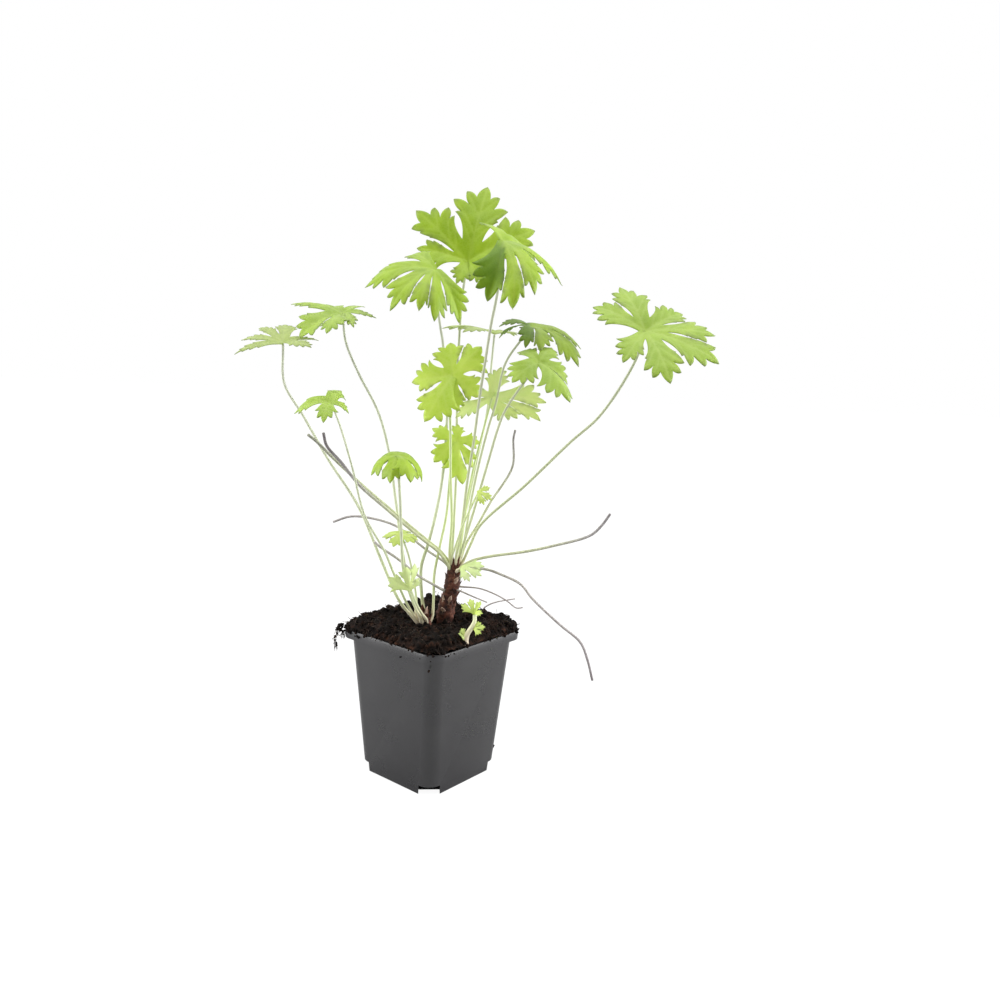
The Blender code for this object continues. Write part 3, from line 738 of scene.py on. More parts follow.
def make_scale(name, foot, way, out, length, width, lean, finish):
    """One dry scale: a pointed, cupped shell that grows up the stock and leans out at its tip."""
    side = way.cross(out).normalized()
    points = []
    for k in range(SCALE_STEPS):
        t = k / (SCALE_STEPS - 1)
        half = width * (0.55 + 0.9 * t - 1.42 * t * t) * (1.0 if k < SCALE_STEPS - 1 else 0.4)
        middle = foot + way * (length * t) + out * (lean * t * t + 0.25)
        for j in range(SCALE_ACROSS):
            s = 2 * j / (SCALE_ACROSS - 1) - 1
            points.append((middle + side * (s * half) - out * (0.55 * s * s * half))[:])
    faces = []
    for k in range(SCALE_STEPS - 1):
        for j in range(SCALE_ACROSS - 1):
            corner = k * SCALE_ACROSS + j
            faces.append((corner, corner + 1, corner + 1 + SCALE_ACROSS, corner + SCALE_ACROSS))
    scale = mesh_object(name, points, faces, finish)
    add_modifier(scale, "thickness", "SOLIDIFY", thickness=SCALE_THICKNESS * MM, offset=0)
    apply_modifiers(scale)
    return scale


def join_pieces(name, pieces):
    select_only(pieces[0])
    for piece in pieces:
        piece.select_set(True)
    bpy.ops.object.join()
    pieces[0].name = name
    return pieces[0]


def wrap_in_scales(name, points, radii, turns, count, low, high, seed):
    """Scales in a spiral up the stock. Most are dark, and those on the left are often pale."""
    rng = random.Random(seed)
    scales = []
    for k in range(count):
        share = low + (high - low) * (k + rng.uniform(-0.3, 0.3)) / count
        place = min(max(share, 0.0), 1.0) * (len(points) - 1)
        i = min(int(place), len(points) - 2)
        middle = points[i].lerp(points[i + 1], place - i)
        radius = radii[i] + (radii[i + 1] - radii[i]) * (place - i)
        ahead = (points[i + 1] - points[i]).normalized()
        angle = 2 * math.pi * turns * k / count + rng.uniform(-0.3, 0.3)
        level = Vector((math.cos(angle), math.sin(angle), 0))
        out = (level - ahead * level.dot(ahead)).normalized()
        pale = rng.random() < (0.55 if out.x < -0.35 else 0.12)
        foot = middle + out * radius * 0.80
        length, width, lean = rng.uniform(5.0, 9.5), rng.uniform(1.9, 3.4), rng.uniform(0.2, 2.6)
        finish = PALE_SCALE if pale else DARK_SCALE
        scales.append(make_scale(f"{name}_{k}", foot, ahead, out, length, width, lean, finish))
    scales = join_pieces(name, scales)
    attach(scales, "root")


crown_points, crown_radii = make_stock("crown_stock", CROWN_ROUTE, "crown", 90)
shoot_points, shoot_radii = make_stock("side_shoot_stock", SHOOT_ROUTE, "side_shoot", 40)
wrap_in_scales("crown_scales", crown_points, crown_radii, 7.3, 46, 0.22, 0.92, 12)
wrap_in_scales("side_shoot_scales", shoot_points, shoot_radii, 3.2, 14, 0.45, 0.85, 21)


# The leaf stalks: slender round petioles, cream at the foot, where each clasps the stock, and pale green
# or olive above. Each runs up through the others to the middle of its own blade.
STALK_TONES = {
    "pale": ((0.64, 0.71, 0.42), (0.62, 0.67, 0.45), (0.56, 0.57, 0.49)),
    "green": ((0.66, 0.74, 0.40), (0.61, 0.71, 0.33), (0.54, 0.64, 0.34)),
    "olive": ((0.66, 0.72, 0.42), (0.56, 0.61, 0.36), (0.46, 0.48, 0.36)),
}
STALK_FOOT = (0.74, 0.62, 0.46)
STALK_TONE_TOP = 320
STALK_SWELL_LENGTH = 7.0
STALK_SIDES = 14


def mix_colours(material, below, above, factor=1.0, blend="MIX"):
    """One colour over another. Each colour and the factor is an output or a plain value."""
    mix = add_node(material.node_tree, "Mix", data_type="RGBA", blend_type=blend)
    for socket, given in (("Factor", factor), (6, below), (7, above)):
        if isinstance(given, bpy.types.NodeSocket):
            wire(material.node_tree, (given, mix.inputs[socket]))
        else:
            mix.inputs[socket].default_value = given
    return mix.outputs[2]


def stalk_finish(name, tones, foot_height):
    """Living stalk: its colour changes with height, with fine lengthwise flecks and a soft sheen."""
    material = new_finish(name, 0.50, 0.4, {"Sheen Weight": 0.40, "Sheen Roughness": 0.45})
    tree = material.node_tree
    place = add_node(tree, "TexCoord").outputs["Object"]
    part = add_node(tree, "SeparateXYZ")
    height = add_node(tree, "MapRange", {"From Min": foot_height * MM, "From Max": STALK_TONE_TOP * MM})
    stretch = add_node(tree, "Mapping", {"Scale": (260, 260, 24)})
    fleck = add_node(tree, "TexNoise", {"Scale": 1.0, "Detail": 3.0})
    wire(
        tree, (place, part.inputs[0]), (part.outputs["Z"], height.inputs["Value"]),
        (place, stretch.inputs["Vector"]), (stretch.outputs[0], fleck.inputs["Vector"]))
    colour = add_ramp(material, height.outputs[0], (
        (0.0, STALK_FOOT), (0.09, tones[0]), (0.30, tones[1]), (1.0, tones[2])))
    shade = add_ramp(material, fleck.outputs["Fac"], ((0.35, (0.95, 0.96, 0.94)), (0.65, (1.0, 1.0, 1.0))))
    feed(material, "Base Color", mix_colours(material, colour, shade, blend="MULTIPLY"))
    return material


STALK_FINISHES = {
    (tone, foot): stalk_finish(f"{tone}_stalk_{foot}", STALK_TONES[tone], height)
    for tone in STALK_TONES for foot, height in (("crown", 138), ("side_shoot", 104))
}


def make_petiole(node, route, thick, finish, swell=0.7):
    """A stalk that thins upwards and swells where it clasps the stock. Swell is in shares of its radius."""
    length = sum((Vector(b) - Vector(a)).length for a, b in zip(route, route[1:]))
    samples = max(12, int(length / 2.5))
    points = smooth_route(route, samples)
    base, tip = thick
    radii, run = [], 0.0
    for k, point in enumerate(points):
        if k:
            run += (point - points[k - 1]).length
        radius = (base + (tip - base) * k / samples) / 2
        radius *= 1 + swell * math.exp(-(run / STALK_SWELL_LENGTH) ** 2)
        radius *= 1 + 0.05 * noise.noise(Vector((run / 9.0, len(route), tip)))
        radii.append(radius)
    stalk = round_stem("stalk_of_" + node, points, radii, finish, STALK_SIDES)
    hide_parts(node)
    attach(stalk, "root")
    return stalk


# The leaves: thin soft blades, each cut into lobes that spread like fingers from the top of its stalk. The
# lobes are toothed, dent along their veins, and let much of the light through.

# Each leaf has its hub, and its lobes' tips as steps from the hub in order round the blade from its open
# notch, anticlockwise seen from above, then how its stalk runs. Some leaves also list the lobes that get
# painted shade, darker over their middle, where shade falls on them.
LEAVES = {
    "far_left": dict(
        hub=(-103, 5, 288), arch=0.08, width=(0.22, 0.15, 0.22, 0.13, 0.17, 0.12), tone="grey", stalk="pale",
        tips=((21, -17, -2), (22, 7, 3), (-4, 31, 14), (-20, 25, 11), (-28, 3, 2), (-27, -17, -9)),
        foot="side_shoot", thick=(2.2, 1.6),
        route=((-8, -5.5, 103), (-13, -6.4, 108.5), (-23, -8, 121), (-34, -6, 144), (-52, -1, 183),
               (-73, 2, 214), (-90, 5, 242), (-102, 5, 262)),
    ),
    "left_back": dict(
        hub=(-67, 25, 310), arch=0.10, width=(0.14, 0.11, 0.11, 0.14, 0.11, 0.32, 0.22), tone="mid",
        stalk="pale",
        tips=((10, -23, -10), (23, -5, -2), (13, 21, 7), (-12, 27, 5), (-37, 13, 6), (-26, -19, -18),
              (-7, -29, -15)),
        foot="side_shoot", thick=(2.2, 1.6),
        route=((-7.5, -3.5, 103), (-10, -0.6, 109), (-14, 0, 120), (-21, 4, 146), (-28, 13, 186),
               (-34, 21, 219), (-42, 25, 245), (-56, 26, 271), (-65, 26, 292)),
    ),
    "left_small": dict(
        hub=(-67, -25, 251), arch=0.16, width=0.30, teeth="small", tone="mid", stalk="pale",
        tips=((10, 5, -6), (4, 19, 8), (-24, 1, -7), (-3, -19, -11)),
        foot="side_shoot", thick=(1.8, 1.3),
        route=((-7.5, -6.5, 103), (-11, -9.6, 108.5), (-18, -10, 120), (-27, -13, 141), (-33, -16, 156),
               (-46, -20, 180), (-54, -24, 211), (-61, -26, 235)),
    ),
    "left_umbrella": dict(
        hub=(-25, -36, 221), arch=0.20, width=0.42, teeth="small", tone="fresh", stalk="pale",
        tips=((9, -15, -15), (16, -1, -16), (8, 21, -7), (-10, 21, -7), (-16, -1, -13), (-4, -15, -16)),
        foot="side_shoot", thick=(2.4, 1.8),
        route=((-6.6, -7, 103), (-8, -11.2, 109), (-15, -12, 125), (-20, -16, 142), (-22, -25, 170),
               (-23, -31, 192)),
    ),
    "low_left": dict(
        hub=(-23, 0, 165), arch=0.08, width=0.36, teeth="small", tone="light", stalk="pale",
        tips=((10, -12, -3), (12, -3, -3), (5, 8, 1), (-13, -2, -2), (-5, -12, -6)),
        foot="side_shoot", thick=(1.7, 1.3),
        route=((-8, -4.5, 104), (-11.6, -3.4, 111), (-11.5, -2.6, 119), (-14, -1, 135), (-18, 0, 151)),
    ),
    "upper_left": dict(
        hub=(-6, 15, 341), arch=0.16, width=0.27, tone="fresh", stalk="pale",
        tips=((-18, 21, 11), (-46, -1, -14), (-28, -23, -30), (-9, -31, -30), (1, -29, -36), (18, -9, -35)),
        foot="side_shoot", thick=(2.4, 1.7),
        route=((-6, -3, 103), (-6.2, 0.6, 109.5), (-8.5, 3, 125), (-9, 4, 142), (-5, 6, 157), (-1, 9, 174),
               (3, 15, 198), (5, 21, 228), (5, 25, 261), (1, 24, 293), (-2, 22, 309)),
    ),
    "low_centre": dict(
        hub=(12, 15, 228), arch=0.08, width=0.36, teeth="small", tone="yellow", stalk="green",
        tips=((5, -9, -29), (12, -3, -18), (17, 2, -1), (1, 8, 11), (-17, 4, 8), (-15, -5, -15)),
        foot="side_shoot", thick=(2.0, 1.5),
        route=((-4.5, -4.5, 103), (-0.8, -3.4, 108.5), (0, -1, 120), (0, 2, 137), (3, 6, 155),
               (7, 11, 177), (9, 16, 208)),
    ),
    "folded": dict(
        hub=(-15, -18, 131), arch=0.05, width=0.40, teeth="small", tone="pale", stalk="pale",
        tips=((5, 1, 8), (2, -1, 18), (-4, -6, 17), (-15, -5, 9)),
        foot="side_shoot", thick=(2.0, 1.6),
        route=((-5, -7, 103), (-4.4, -10.4, 108.5), (-7.5, -14.5, 114), (-11, -17, 121)),
    ),
    "top": dict(
        hub=(17, 58, 353), arch=0.08, width=0.27, tone="fresh", stalk="olive",
        tips=((12, -11, -16), (48, 5, 25), (13, 17, 56), (-38, 11, 35), (-37, 3, 8), (-8, -11, -17)),
        foot="crown", thick=(1.8, 1.8),
        route=((13.1, 5, 141), (11.8, 7.5, 149), (12.3, 14, 167), (13, 25, 206), (12.5, 37, 240),
               (12, 48, 276), (13, 57, 310), (14, 59, 331)),
    ),
    "top_right": dict(
        hub=(36, -20, 356), arch=0.14, width=(0.34, 0.30, 0.27, 0.16, 0.27, 0.20), painted_shade=(0,), tone="fresh",
        stalk="olive",
        tips=((-9, -16, -39), (6, -26, -44), (20, -20, -34), (40, 2, -25), (21, 28, -8), (-13, 22, 13)),
        foot="crown", thick=(1.8, 1.8),
        route=((13.9, 3, 141), (14.4, 0.1, 149), (17, -3.5, 168), (20, -7, 204), (23, -9.5, 229),
               (26, -14, 262), (29, -17, 288), (31, -19, 305), (34, -20, 324)),
    ),
    "right_dark": dict(
        hub=(60, 12, 306), arch=0.16, width=(0.12, 0.24, 0.28, 0.30, 0.25, 0.27, 0.12), painted_shade=(0, 1, 6),
        tone="deep", stalk="olive",
        tips=((-23, -12, -1), (-6, -24, -15), (4, -28, -16), (31, -18, -25), (34, -2, -13), (23, 22, -5),
              (-21, 15, -7)),
        foot="crown", thick=(1.7, 1.5),
        route=((14.9, 4, 141), (17.7, 4.2, 149), (19.5, 4.5, 158), (23, 6, 185), (29, 9, 218),
               (34, 10, 240), (38, 10, 255), (43, 9, 281), (53, 11, 297)),
    ),
    "right_front": dict(
        hub=(62, -22, 282), arch=0.12, width=(0.36, 0.38, 0.32, 0.32, 0.36), tone="mid", stalk="olive",
        tips=((19, -18, -24), (19, -2, -13), (10, 16, 11), (-10, 16, 8), (-18, -14, -13)),
        foot="crown", thick=(1.8, 1.6),
        route=((14.6, 3.3, 141), (16.85, 1.5, 149), (19, -2, 159), (25, -6, 183), (33, -12, 217),
               (38, -15, 238), (42, -16, 250), (50, -19, 264)),
    ),
    "centre": dict(
        hub=(8, 5, 272), arch=0.06, width=(0.30, 0.36, 0.42, 0.44, 0.36, 0.32), tone="yellow", stalk="green",
        tips=((4, -3, -24), (18, -1, -14), (19, 7, 20), (-2, 11, 22), (-27, 1, -6), (-18, -11, -31)),
        foot="crown", thick=(1.8, 1.8),
        route=((12.9, 3.4, 141), (10.2, 2, 149), (10.6, 2, 175), (9, 2, 202), (8, 3, 229), (7, 4, 256)),
    ),
    "pale_back": dict(
        hub=(36, 30, 258), arch=0.08, width=0.27, tone="pale", stalk="green",
        tips=((39, 0, -2), (37, 14, -16), (21, 22, -15), (-25, 0, -15), (-14, -4, 3), (5, -14, 21)),
        foot="crown", thick=(1.7, 1.5),
        route=((14.5, 4.8, 141), (16.7, 6.7, 149), (18, 9, 160), (21, 14, 187), (26, 22, 214),
               (31, 27, 235)),
    ),
    "edge_back": dict(
        hub=(37, 42, 302), arch=0.10, width=(0.2, 0.27, 0.2, 0.30, 0.34), tone="grey", stalk="pale",
        tips=((24, 0, -1), (16, 20, 1), (-10, 18, 3), (-37, 6, 3), (-23, -16, 0)),
        foot="crown", thick=(1.7, 1.5),
        route=((14.1, 5.1, 141), (14.7, 7.9, 149), (16, 12, 160), (21, 20, 180), (28, 36, 214),
               (34.5, 49, 249), (36, 47, 280)),
    ),
    "low_right": dict(
        hub=(27, -13, 197), arch=0.10, width=0.32, teeth="small", tone="light", stalk="green",
        tips=((4, -7, -8), (9, -5, -5), (8, -1, 3)),
        foot="crown", thick=(1.5, 1.2),
        route=((13, 2.8, 140), (11.4, 0.2, 148), (13.5, -4.5, 158), (18.5, -9, 175), (24, -12, 189)),
    ),
    "far_right": dict(
        hub=(131, -15, 305), arch=0.08, width=0.27, tone="mid", stalk="olive",
        tips=((-18, -21, -21), (10, -33, -33), (44, -21, -19), (45, -5, -1), (29, 17, 14), (-12, 31, 31),
              (-32, 19, 16)),
        foot="crown", thick=(1.9, 1.8),
        route=((15, 4.3, 138), (18.9, 5, 145), (24, 3.5, 158), (30, 1, 172), (59, -4, 201),
               (87, -8, 231), (106, -10, 250), (126, -14, 286)),
    ),
    "beside_crown": dict(
        hub=(17.5, -5, 144), arch=0.10, width=0.30, teeth="small", tone="pale", stalk="pale",
        tips=((6, -11, -7), (14, -11, -3), (16, -5, 2)),
        foot="crown", thick=(1.6, 1.2),
        route=((14.2, 1.5, 139), (15.4, -1.2, 141), (16.4, -3, 142.2)),
    ),
}

# Half a lobe's teeth, as its tip's place along the lobe and out from it, then the notch after it. Along is
# in shares of the lobe's length, and out in shares of its half width.
TEETH = {
    "large": (
        ((0.570, 1.10), (0.565, 0.62)), ((0.735, 1.00), (0.690, 0.42)), ((0.870, 0.62), (0.825, 0.25)),
    ),
    "small": (((0.640, 1.05), (0.620, 0.56)), ((0.840, 0.66), (0.790, 0.28))),
}
NOTCH_REACH = 0.30
WIDEST_SHARE = 0.485
FULLEST_TURN = math.radians(300)
BLADE_THICKNESS = 0.35
BLADE_STEP = 1.25
VEIN_STEP = 0.5
MARGIN_STEP = 0.9
SMALL_BLADE = 26
FULL_RELIEF_BLADE = 42
QUILT_HEIGHT, QUILT_WIDTH = 0.40, 2.4
WAVE_HEIGHT, WAVE_SIZE = 1.5, 21.0
RIPPLE_HEIGHT, RIPPLE_SIZE = 0.5, 9.0
EDGE_DROP, EDGE_WIDTH = 0.5, 2.4

LEAF_TONES = {
    "fresh": ((0.32, 0.49, 0.016), (0.43, 0.61, 0.030), (0.57, 0.72, 0.14)),
    "yellow": ((0.60, 0.80, 0.095), (0.72, 0.89, 0.175), (0.79, 0.92, 0.31)),
    "mid": ((0.33, 0.50, 0.045), (0.44, 0.61, 0.080), (0.57, 0.71, 0.22)),
    "deep": ((0.23, 0.36, 0.014), (0.35, 0.50, 0.030), (0.48, 0.62, 0.11)),
    "grey": ((0.38, 0.49, 0.130), (0.48, 0.59, 0.190), (0.60, 0.70, 0.33)),
    "light": ((0.60, 0.77, 0.160), (0.72, 0.86, 0.260), (0.80, 0.90, 0.42)),
    "pale": ((0.74, 0.90, 0.46), (0.82, 0.94, 0.58), (0.87, 0.95, 0.68)),
}
THROUGH_TINT = (1.08, 1.0, 0.55, 1)
# Painted shade: this tint darkens the middle of chosen lobes, where shade falls on them
SHADE_TINT = (0.50, 0.62, 0.24, 1)
UNDERSIDE_TINT = (0.60, 0.72, 0.42, 1)
GREY_TIP = (0.20, 0.24, 0.12)


def blade_finish(name, tones, under):
    """Leaf tissue: a fine network of veins, paler main veins, grey-green tips, painted shade on chosen lobes,
    and light from behind.
    """
    dark, middle, vein_tint = tones
    rough, shine, vein_share, groove = (0.66, 0.2, 0.75, 0.5) if under else (0.42, 0.50, 0.38, -0.5)
    material = new_finish(name, rough, shine, {"Sheen Weight": 0.18, "Sheen Roughness": 0.40})
    tree = material.node_tree
    grain = add_grain(material, 55.0, 900.0, 0.5)
    colour = add_ramp(material, grain.outputs["Mask"], ((0.34, dark), (0.64, middle)))
    place = add_node(tree, "UVMap", uv_map="flat")
    cells = add_node(tree, "TexVoronoi", {"Scale": 620.0}, feature="DISTANCE_TO_EDGE")
    net = add_node(tree, "MapRange", {"From Max": 0.20, "To Min": 1.0, "To Max": 0.0})
    wire(tree, (place.outputs[0], cells.inputs["Vector"]), (cells.outputs["Distance"], net.inputs["Value"]))
    veins, tips, painted_shade = (
        add_node(tree, "Attribute", attribute_name=title).outputs["Fac"]
        for title in ("vein", "tip", "painted_shade"))
    grey_tip = tuple(0.35 * a + 0.65 * b for a, b in zip(dark, GREY_TIP))
    for mask, share, above in (
            (net.outputs[0], 0.16, vein_tint), (veins, vein_share, vein_tint), (tips, 0.80, grey_tip)):
        scaled = add_node(tree, "Math", {1: share}, operation="MULTIPLY")
        wire(tree, (mask, scaled.inputs[0]))
        colour = mix_colours(material, colour, (*above, 1), scaled.outputs[0])
    if under:
        colour = mix_colours(material, colour, UNDERSIDE_TINT, 0.38)
    # Painted shade: the chosen lobes are darkened by the painted shade mask
    colour = mix_colours(material, colour, SHADE_TINT, painted_shade, "MULTIPLY")
    feed(material, "Base Color", colour)
    relief = add_node(tree, "Math", {1: groove}, operation="MULTIPLY_ADD")
    wire(tree, (net.outputs[0], relief.inputs[0]), (grain.outputs["Height"], relief.inputs[2]))
    add_bump(material, relief.outputs[0], 0.5, 0.00016)
    let_light_through(material, mix_colours(material, colour, THROUGH_TINT, blend="MULTIPLY"), 0.45)
    return material


BLADE_FINISHES = {
    tone: [blade_finish(f"{tone}_leaf_{end}", tones, end == "underside") for end in ("top", "underside")]
    for tone, tones in LEAF_TONES.items()
}


def curve_between(start, bend, end, step):
    """Points of a smooth bend from start, without its end."""
    start, bend, end = Vector(start), Vector(bend), Vector(end)
    count = max(2, round((end - start).length / step))
    return [start.lerp(bend, k / count).lerp(bend.lerp(end, k / count), k / count) for k in range(count)]


def lobe_margin(length, notch, width, widest, teeth, rng):
    """One side of a lobe as flat points from the notch beside it up to its tip, its side veins and its teeth.

    Points are along the lobe and out from its midrib, in millimetres.
    """
    points, tips, veins = [], [], []
    low = Vector(notch)
    for (tip_along, tip_out), (notch_along, notch_out) in teeth:
        shift, swell = rng.uniform(-0.018, 0.018), rng.uniform(0.88, 1.10)
        tip = Vector(((tip_along + shift) * length, 0))
        tip.y = min(tip_out * width * length * swell, tip.x * widest)
        after = Vector(((notch_along + shift) * length, 0))
        after.y = min(notch_out * width * length * swell, after.x * widest * 0.9)
        bend = (0.36, 0.96) if tips else (0.68, 0.16)
        rise = Vector((low.x + (tip.x - low.x) * bend[0], low.y + (tip.y - low.y) * bend[1]))
        rise.y = min(rise.y, rise.x * widest)
        points += curve_between(low, rise, tip, MARGIN_STEP)
        into = Vector((tip.x + (after.x - tip.x) * 0.20 + 0.035 * length, tip.y + (after.y - tip.y) * 0.50))
        points += curve_between(tip, into, after, MARGIN_STEP)
        tips.append(tip)
        low = after
        root = Vector((max(tip.x - (0.20 * length + 0.75 * tip.y), 0.10 * length), 0))
        bend = Vector((root.x + (tip.x - root.x) * 0.55, tip.y * 0.40))
        veins.append(curve_between(root, bend, tip.lerp(root, 0.04), VEIN_STEP))
    end = Vector((length, 0))
    bend = Vector((low.x + (end.x - low.x) * 0.55, low.y * 0.95))
    points += curve_between(low, bend, end, MARGIN_STEP)
    return points, veins, tips


def on_side(line, ahead, side):
    """A flat line of a lobe, placed on one side of its midrib."""
    left = Vector((-ahead.y, ahead.x))
    return [ahead * point.x + left * (side * point.y) for point in line]


def inside(points, outline):
    """Which points lie inside the outline, as an array of truth values."""
    x, y = points[:, 0][:, None], points[:, 1][:, None]
    x0, y0 = outline[:, 0], outline[:, 1]
    x1, y1 = np.roll(x0, -1), np.roll(y0, -1)
    crosses = (y0 > y) != (y1 > y)
    slope = (x1 - x0) / np.where(y1 == y0, 1e-9, y1 - y0)
    return (crosses & (x < x0 + slope * (y - y0))).sum(axis=1) % 2 == 1


def tree_of(points):
    tree = kdtree.KDTree(len(points))
    for k, point in enumerate(points):
        tree.insert((point[0], point[1], 0), k)
    tree.balance()
    return tree


def flat_leaf(tips, width, teeth, rng):
    """The blade laid flat: its outline, midribs, side veins and tooth tips, and the turn of each midrib."""
    gaps = [first.angle(second) for first, second in zip(tips, tips[1:])]
    squeeze = min(1.0, FULLEST_TURN / (sum(gaps) + 1.2))
    turns = [0.0]
    for gap in gaps:
        turns.append(turns[-1] + gap * squeeze)
    outline, midribs, side_veins, tooth_tips = [], [], [], []
    for lobe, tip in enumerate(tips):
        length, turn = tip.length, turns[lobe]
        wide = width[lobe] if isinstance(width, tuple) else width
        ahead = Vector((math.cos(turn), math.sin(turn)))
        sides = {}
        for side in (-1, 1):
            other = lobe + side
            notch, widest = (0.05 * length, 0.075 * length), 1.0
            if 0 <= other < len(tips):
                gap = abs(turns[other] - turn)
                reach = NOTCH_REACH * min(length, tips[other].length)
                notch = (reach * math.cos(gap / 2), reach * math.sin(gap / 2))
                widest = math.tan(WIDEST_SHARE * gap)
            margin, veins, toothed = lobe_margin(length, notch, wide, widest, teeth, rng)
            sides[side] = on_side(margin, ahead, side)
            tooth_tips += on_side(toothed, ahead, side)
            side_veins += [on_side(vein, ahead, side) for vein in veins]
        outline += sides[-1] + [ahead * length] + sides[1][:0:-1]
        tooth_tips.append(ahead * length)
        steps = round(length)
        midribs.append([ahead * (length * 0.985 * k / max(4, steps)) for k in range(1, steps + 1)])
    open_turn = turns[-1] / 2 + math.pi
    outline += [sides[1][0], Vector((math.cos(open_turn), math.sin(open_turn))) * 1.3]
    return outline, midribs, side_veins, tooth_tips, turns, squeeze


def blade_normal(tips):
    """The way that the upper side of a blade faces, from its lobes' tips in order."""
    total = Vector()
    for first, second in zip(tips, tips[1:]):
        total += first.cross(second)
    return total.normalized()


def midrib_place(tip, normal, arch, distance):
    """A place on a lobe's midrib, which bows up between the hub and the tip by arch times its length."""
    length = tip.length
    share = distance / length
    up = (normal - tip * (normal.dot(tip) / length ** 2)).normalized()
    return tip * share + up * (arch * length * 4 * share * (1 - share))


def blade_place(point, tips, normal, arch, turns, squeeze):
    """Where a flat point lies on the blade, which swings from one midrib to the next."""
    distance = point.length
    turn = math.atan2(point.y, point.x)
    middle = turns[-1] / 2
    turn = middle + (turn - middle + math.pi) % (2 * math.pi) - math.pi
    if turn <= turns[0] or turn >= turns[-1]:
        lobe = 0 if turn <= turns[0] else len(tips) - 1
        here = midrib_place(tips[lobe], normal, arch, distance)
        axis = (normal - here * (normal.dot(here) / max(here.length_squared, 1e-9))).normalized()
        return Matrix.Rotation((turn - turns[lobe]) / squeeze, 3, axis) @ here
    lobe = max(k for k in range(len(turns)) if turns[k] <= turn)
    share = (turn - turns[lobe]) / (turns[lobe + 1] - turns[lobe])
    first = midrib_place(tips[lobe], normal, arch, distance)
    second = midrib_place(tips[lobe + 1], normal, arch, distance)
    length = first.length * (1 - share) + second.length * share
    return first.normalized().slerp(second.normalized(), share) * length


def make_blade(name, node, leaf, finishes, seed):
    tips = [Vector(tip) for tip in leaf["tips"]]
    normal, arch = blade_normal(tips), leaf["arch"]
    outline, midribs, side_veins, tooth_tips, turns, squeeze = flat_leaf(
        tips, leaf["width"], TEETH[leaf.get("teeth", "large")], random.Random(seed))
    edge = np.array([point[:] for point in outline])
    main_points = [point for midrib in midribs for point in midrib]
    side_points = [point for vein in side_veins for point in vein]
    edge_tree, main_tree, side_tree, tooth_tree = map(tree_of, (edge, main_points, side_points, tooth_tips))
    largest = max(tip.length for tip in tips)
    step = BLADE_STEP if largest > SMALL_BLADE else BLADE_STEP * 0.6
    rows = np.arange(-largest * 1.3, largest * 1.3, step * 0.866)
    columns = np.arange(-largest * 1.3, largest * 1.3, step)
    grid = np.array([(x + (k % 2) * step / 2, y) for k, y in enumerate(rows) for x in columns])
    grid = grid[inside(grid, edge)]
    free = [
        point for point in grid
        if min(tree.find((*point, 0))[2] for tree in (edge_tree, main_tree, side_tree)) > 0.55 * step]
    flat = [Vector(point) for point in edge] + main_points + side_points + [Vector(point) for point in free]
    flat.append(Vector((0, 0)))
    ring = [(k, (k + 1) % len(edge)) for k in range(len(edge))]
    cut = geometry.delaunay_2d_cdt(flat, ring, [], 1, 1e-5)
    flat, faces = cut[0], cut[2]
    hub = Vector(leaf["hub"])
    places = [hub + blade_place(point, tips, normal, arch, turns, squeeze) for point in flat]
    mesh = bpy.data.meshes.new(name)
    mesh.from_pydata([place[:] for place in places], [], faces)
    mesh.update()
    lift = [vertex.normal.copy() for vertex in mesh.vertices]
    relief = QUILT_HEIGHT * min(1.0, largest / FULL_RELIEF_BLADE)
    masks = {"vein": [], "tip": [], "painted_shade": []}
    for k, (point, place) in enumerate(zip(flat, places)):
        from_main, from_side, from_edge, from_tooth = (
            tree.find((point.x, point.y, 0))[2] for tree in (main_tree, side_tree, edge_tree, tooth_tree))
        quilt = 1 - math.exp(-(min(from_main, from_side * 1.15) / QUILT_WIDTH) ** 2)
        rise = relief * quilt + 0.05 * min(from_main, 9.0)
        far = min(1.0, point.length / largest)
        wave = WAVE_HEIGHT * noise.noise(place / WAVE_SIZE + Vector((seed, 0, 0)))
        rise += far * (wave + RIPPLE_HEIGHT * noise.noise(place / RIPPLE_SIZE))
        rise -= EDGE_DROP * far * math.exp(-from_edge / EDGE_WIDTH)
        hub_fade = min(1.0, point.length / 4.0)
        mesh.vertices[k].co = (place + lift[k] * rise * hub_fade) * MM
        on_vein, on_side_vein = math.exp(-(from_main / 0.7) ** 2), math.exp(-(from_side / 0.5) ** 2)
        masks["vein"].append(max(on_vein, 0.65 * on_side_vein))
        masks["tip"].append(math.exp(-(from_tooth / (0.035 * largest + 0.3)) ** 2))
        # Painted shade: a mask that is strongest along the middle of each chosen lobe and fades towards its
        # hub and tip
        turn = math.atan2(point.y, point.x) % (2 * math.pi)
        nearest = min(range(len(turns)), key=lambda k: abs(math.sin((turn - turns[k]) / 2)))
        along = point.length / tips[nearest].length
        painted_shade = min(1.0, along / 0.2, max(0.0, 1.25 - along) / 0.6)
        masks["painted_shade"].append(painted_shade if nearest in leaf.get("painted_shade", ()) else 0.0)
    for title, values in masks.items():
        mesh.attributes.new(title, "FLOAT", "POINT").data.foreach_set("value", values)
    layer = mesh.uv_layers.new(name="flat")
    for loop in mesh.loops:
        layer.data[loop.index].uv = flat[loop.vertex_index] * MM
    blade = add_object(name, mesh)
    for finish in finishes:
        mesh.materials.append(finish)
    mesh.shade_smooth()
    add_modifier(
        blade, "thickness", "SOLIDIFY", thickness=BLADE_THICKNESS * MM, offset=-1, material_offset=1,
        material_offset_rim=1)
    apply_modifiers(blade)
    if node:
        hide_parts(node)
    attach(blade, "root")


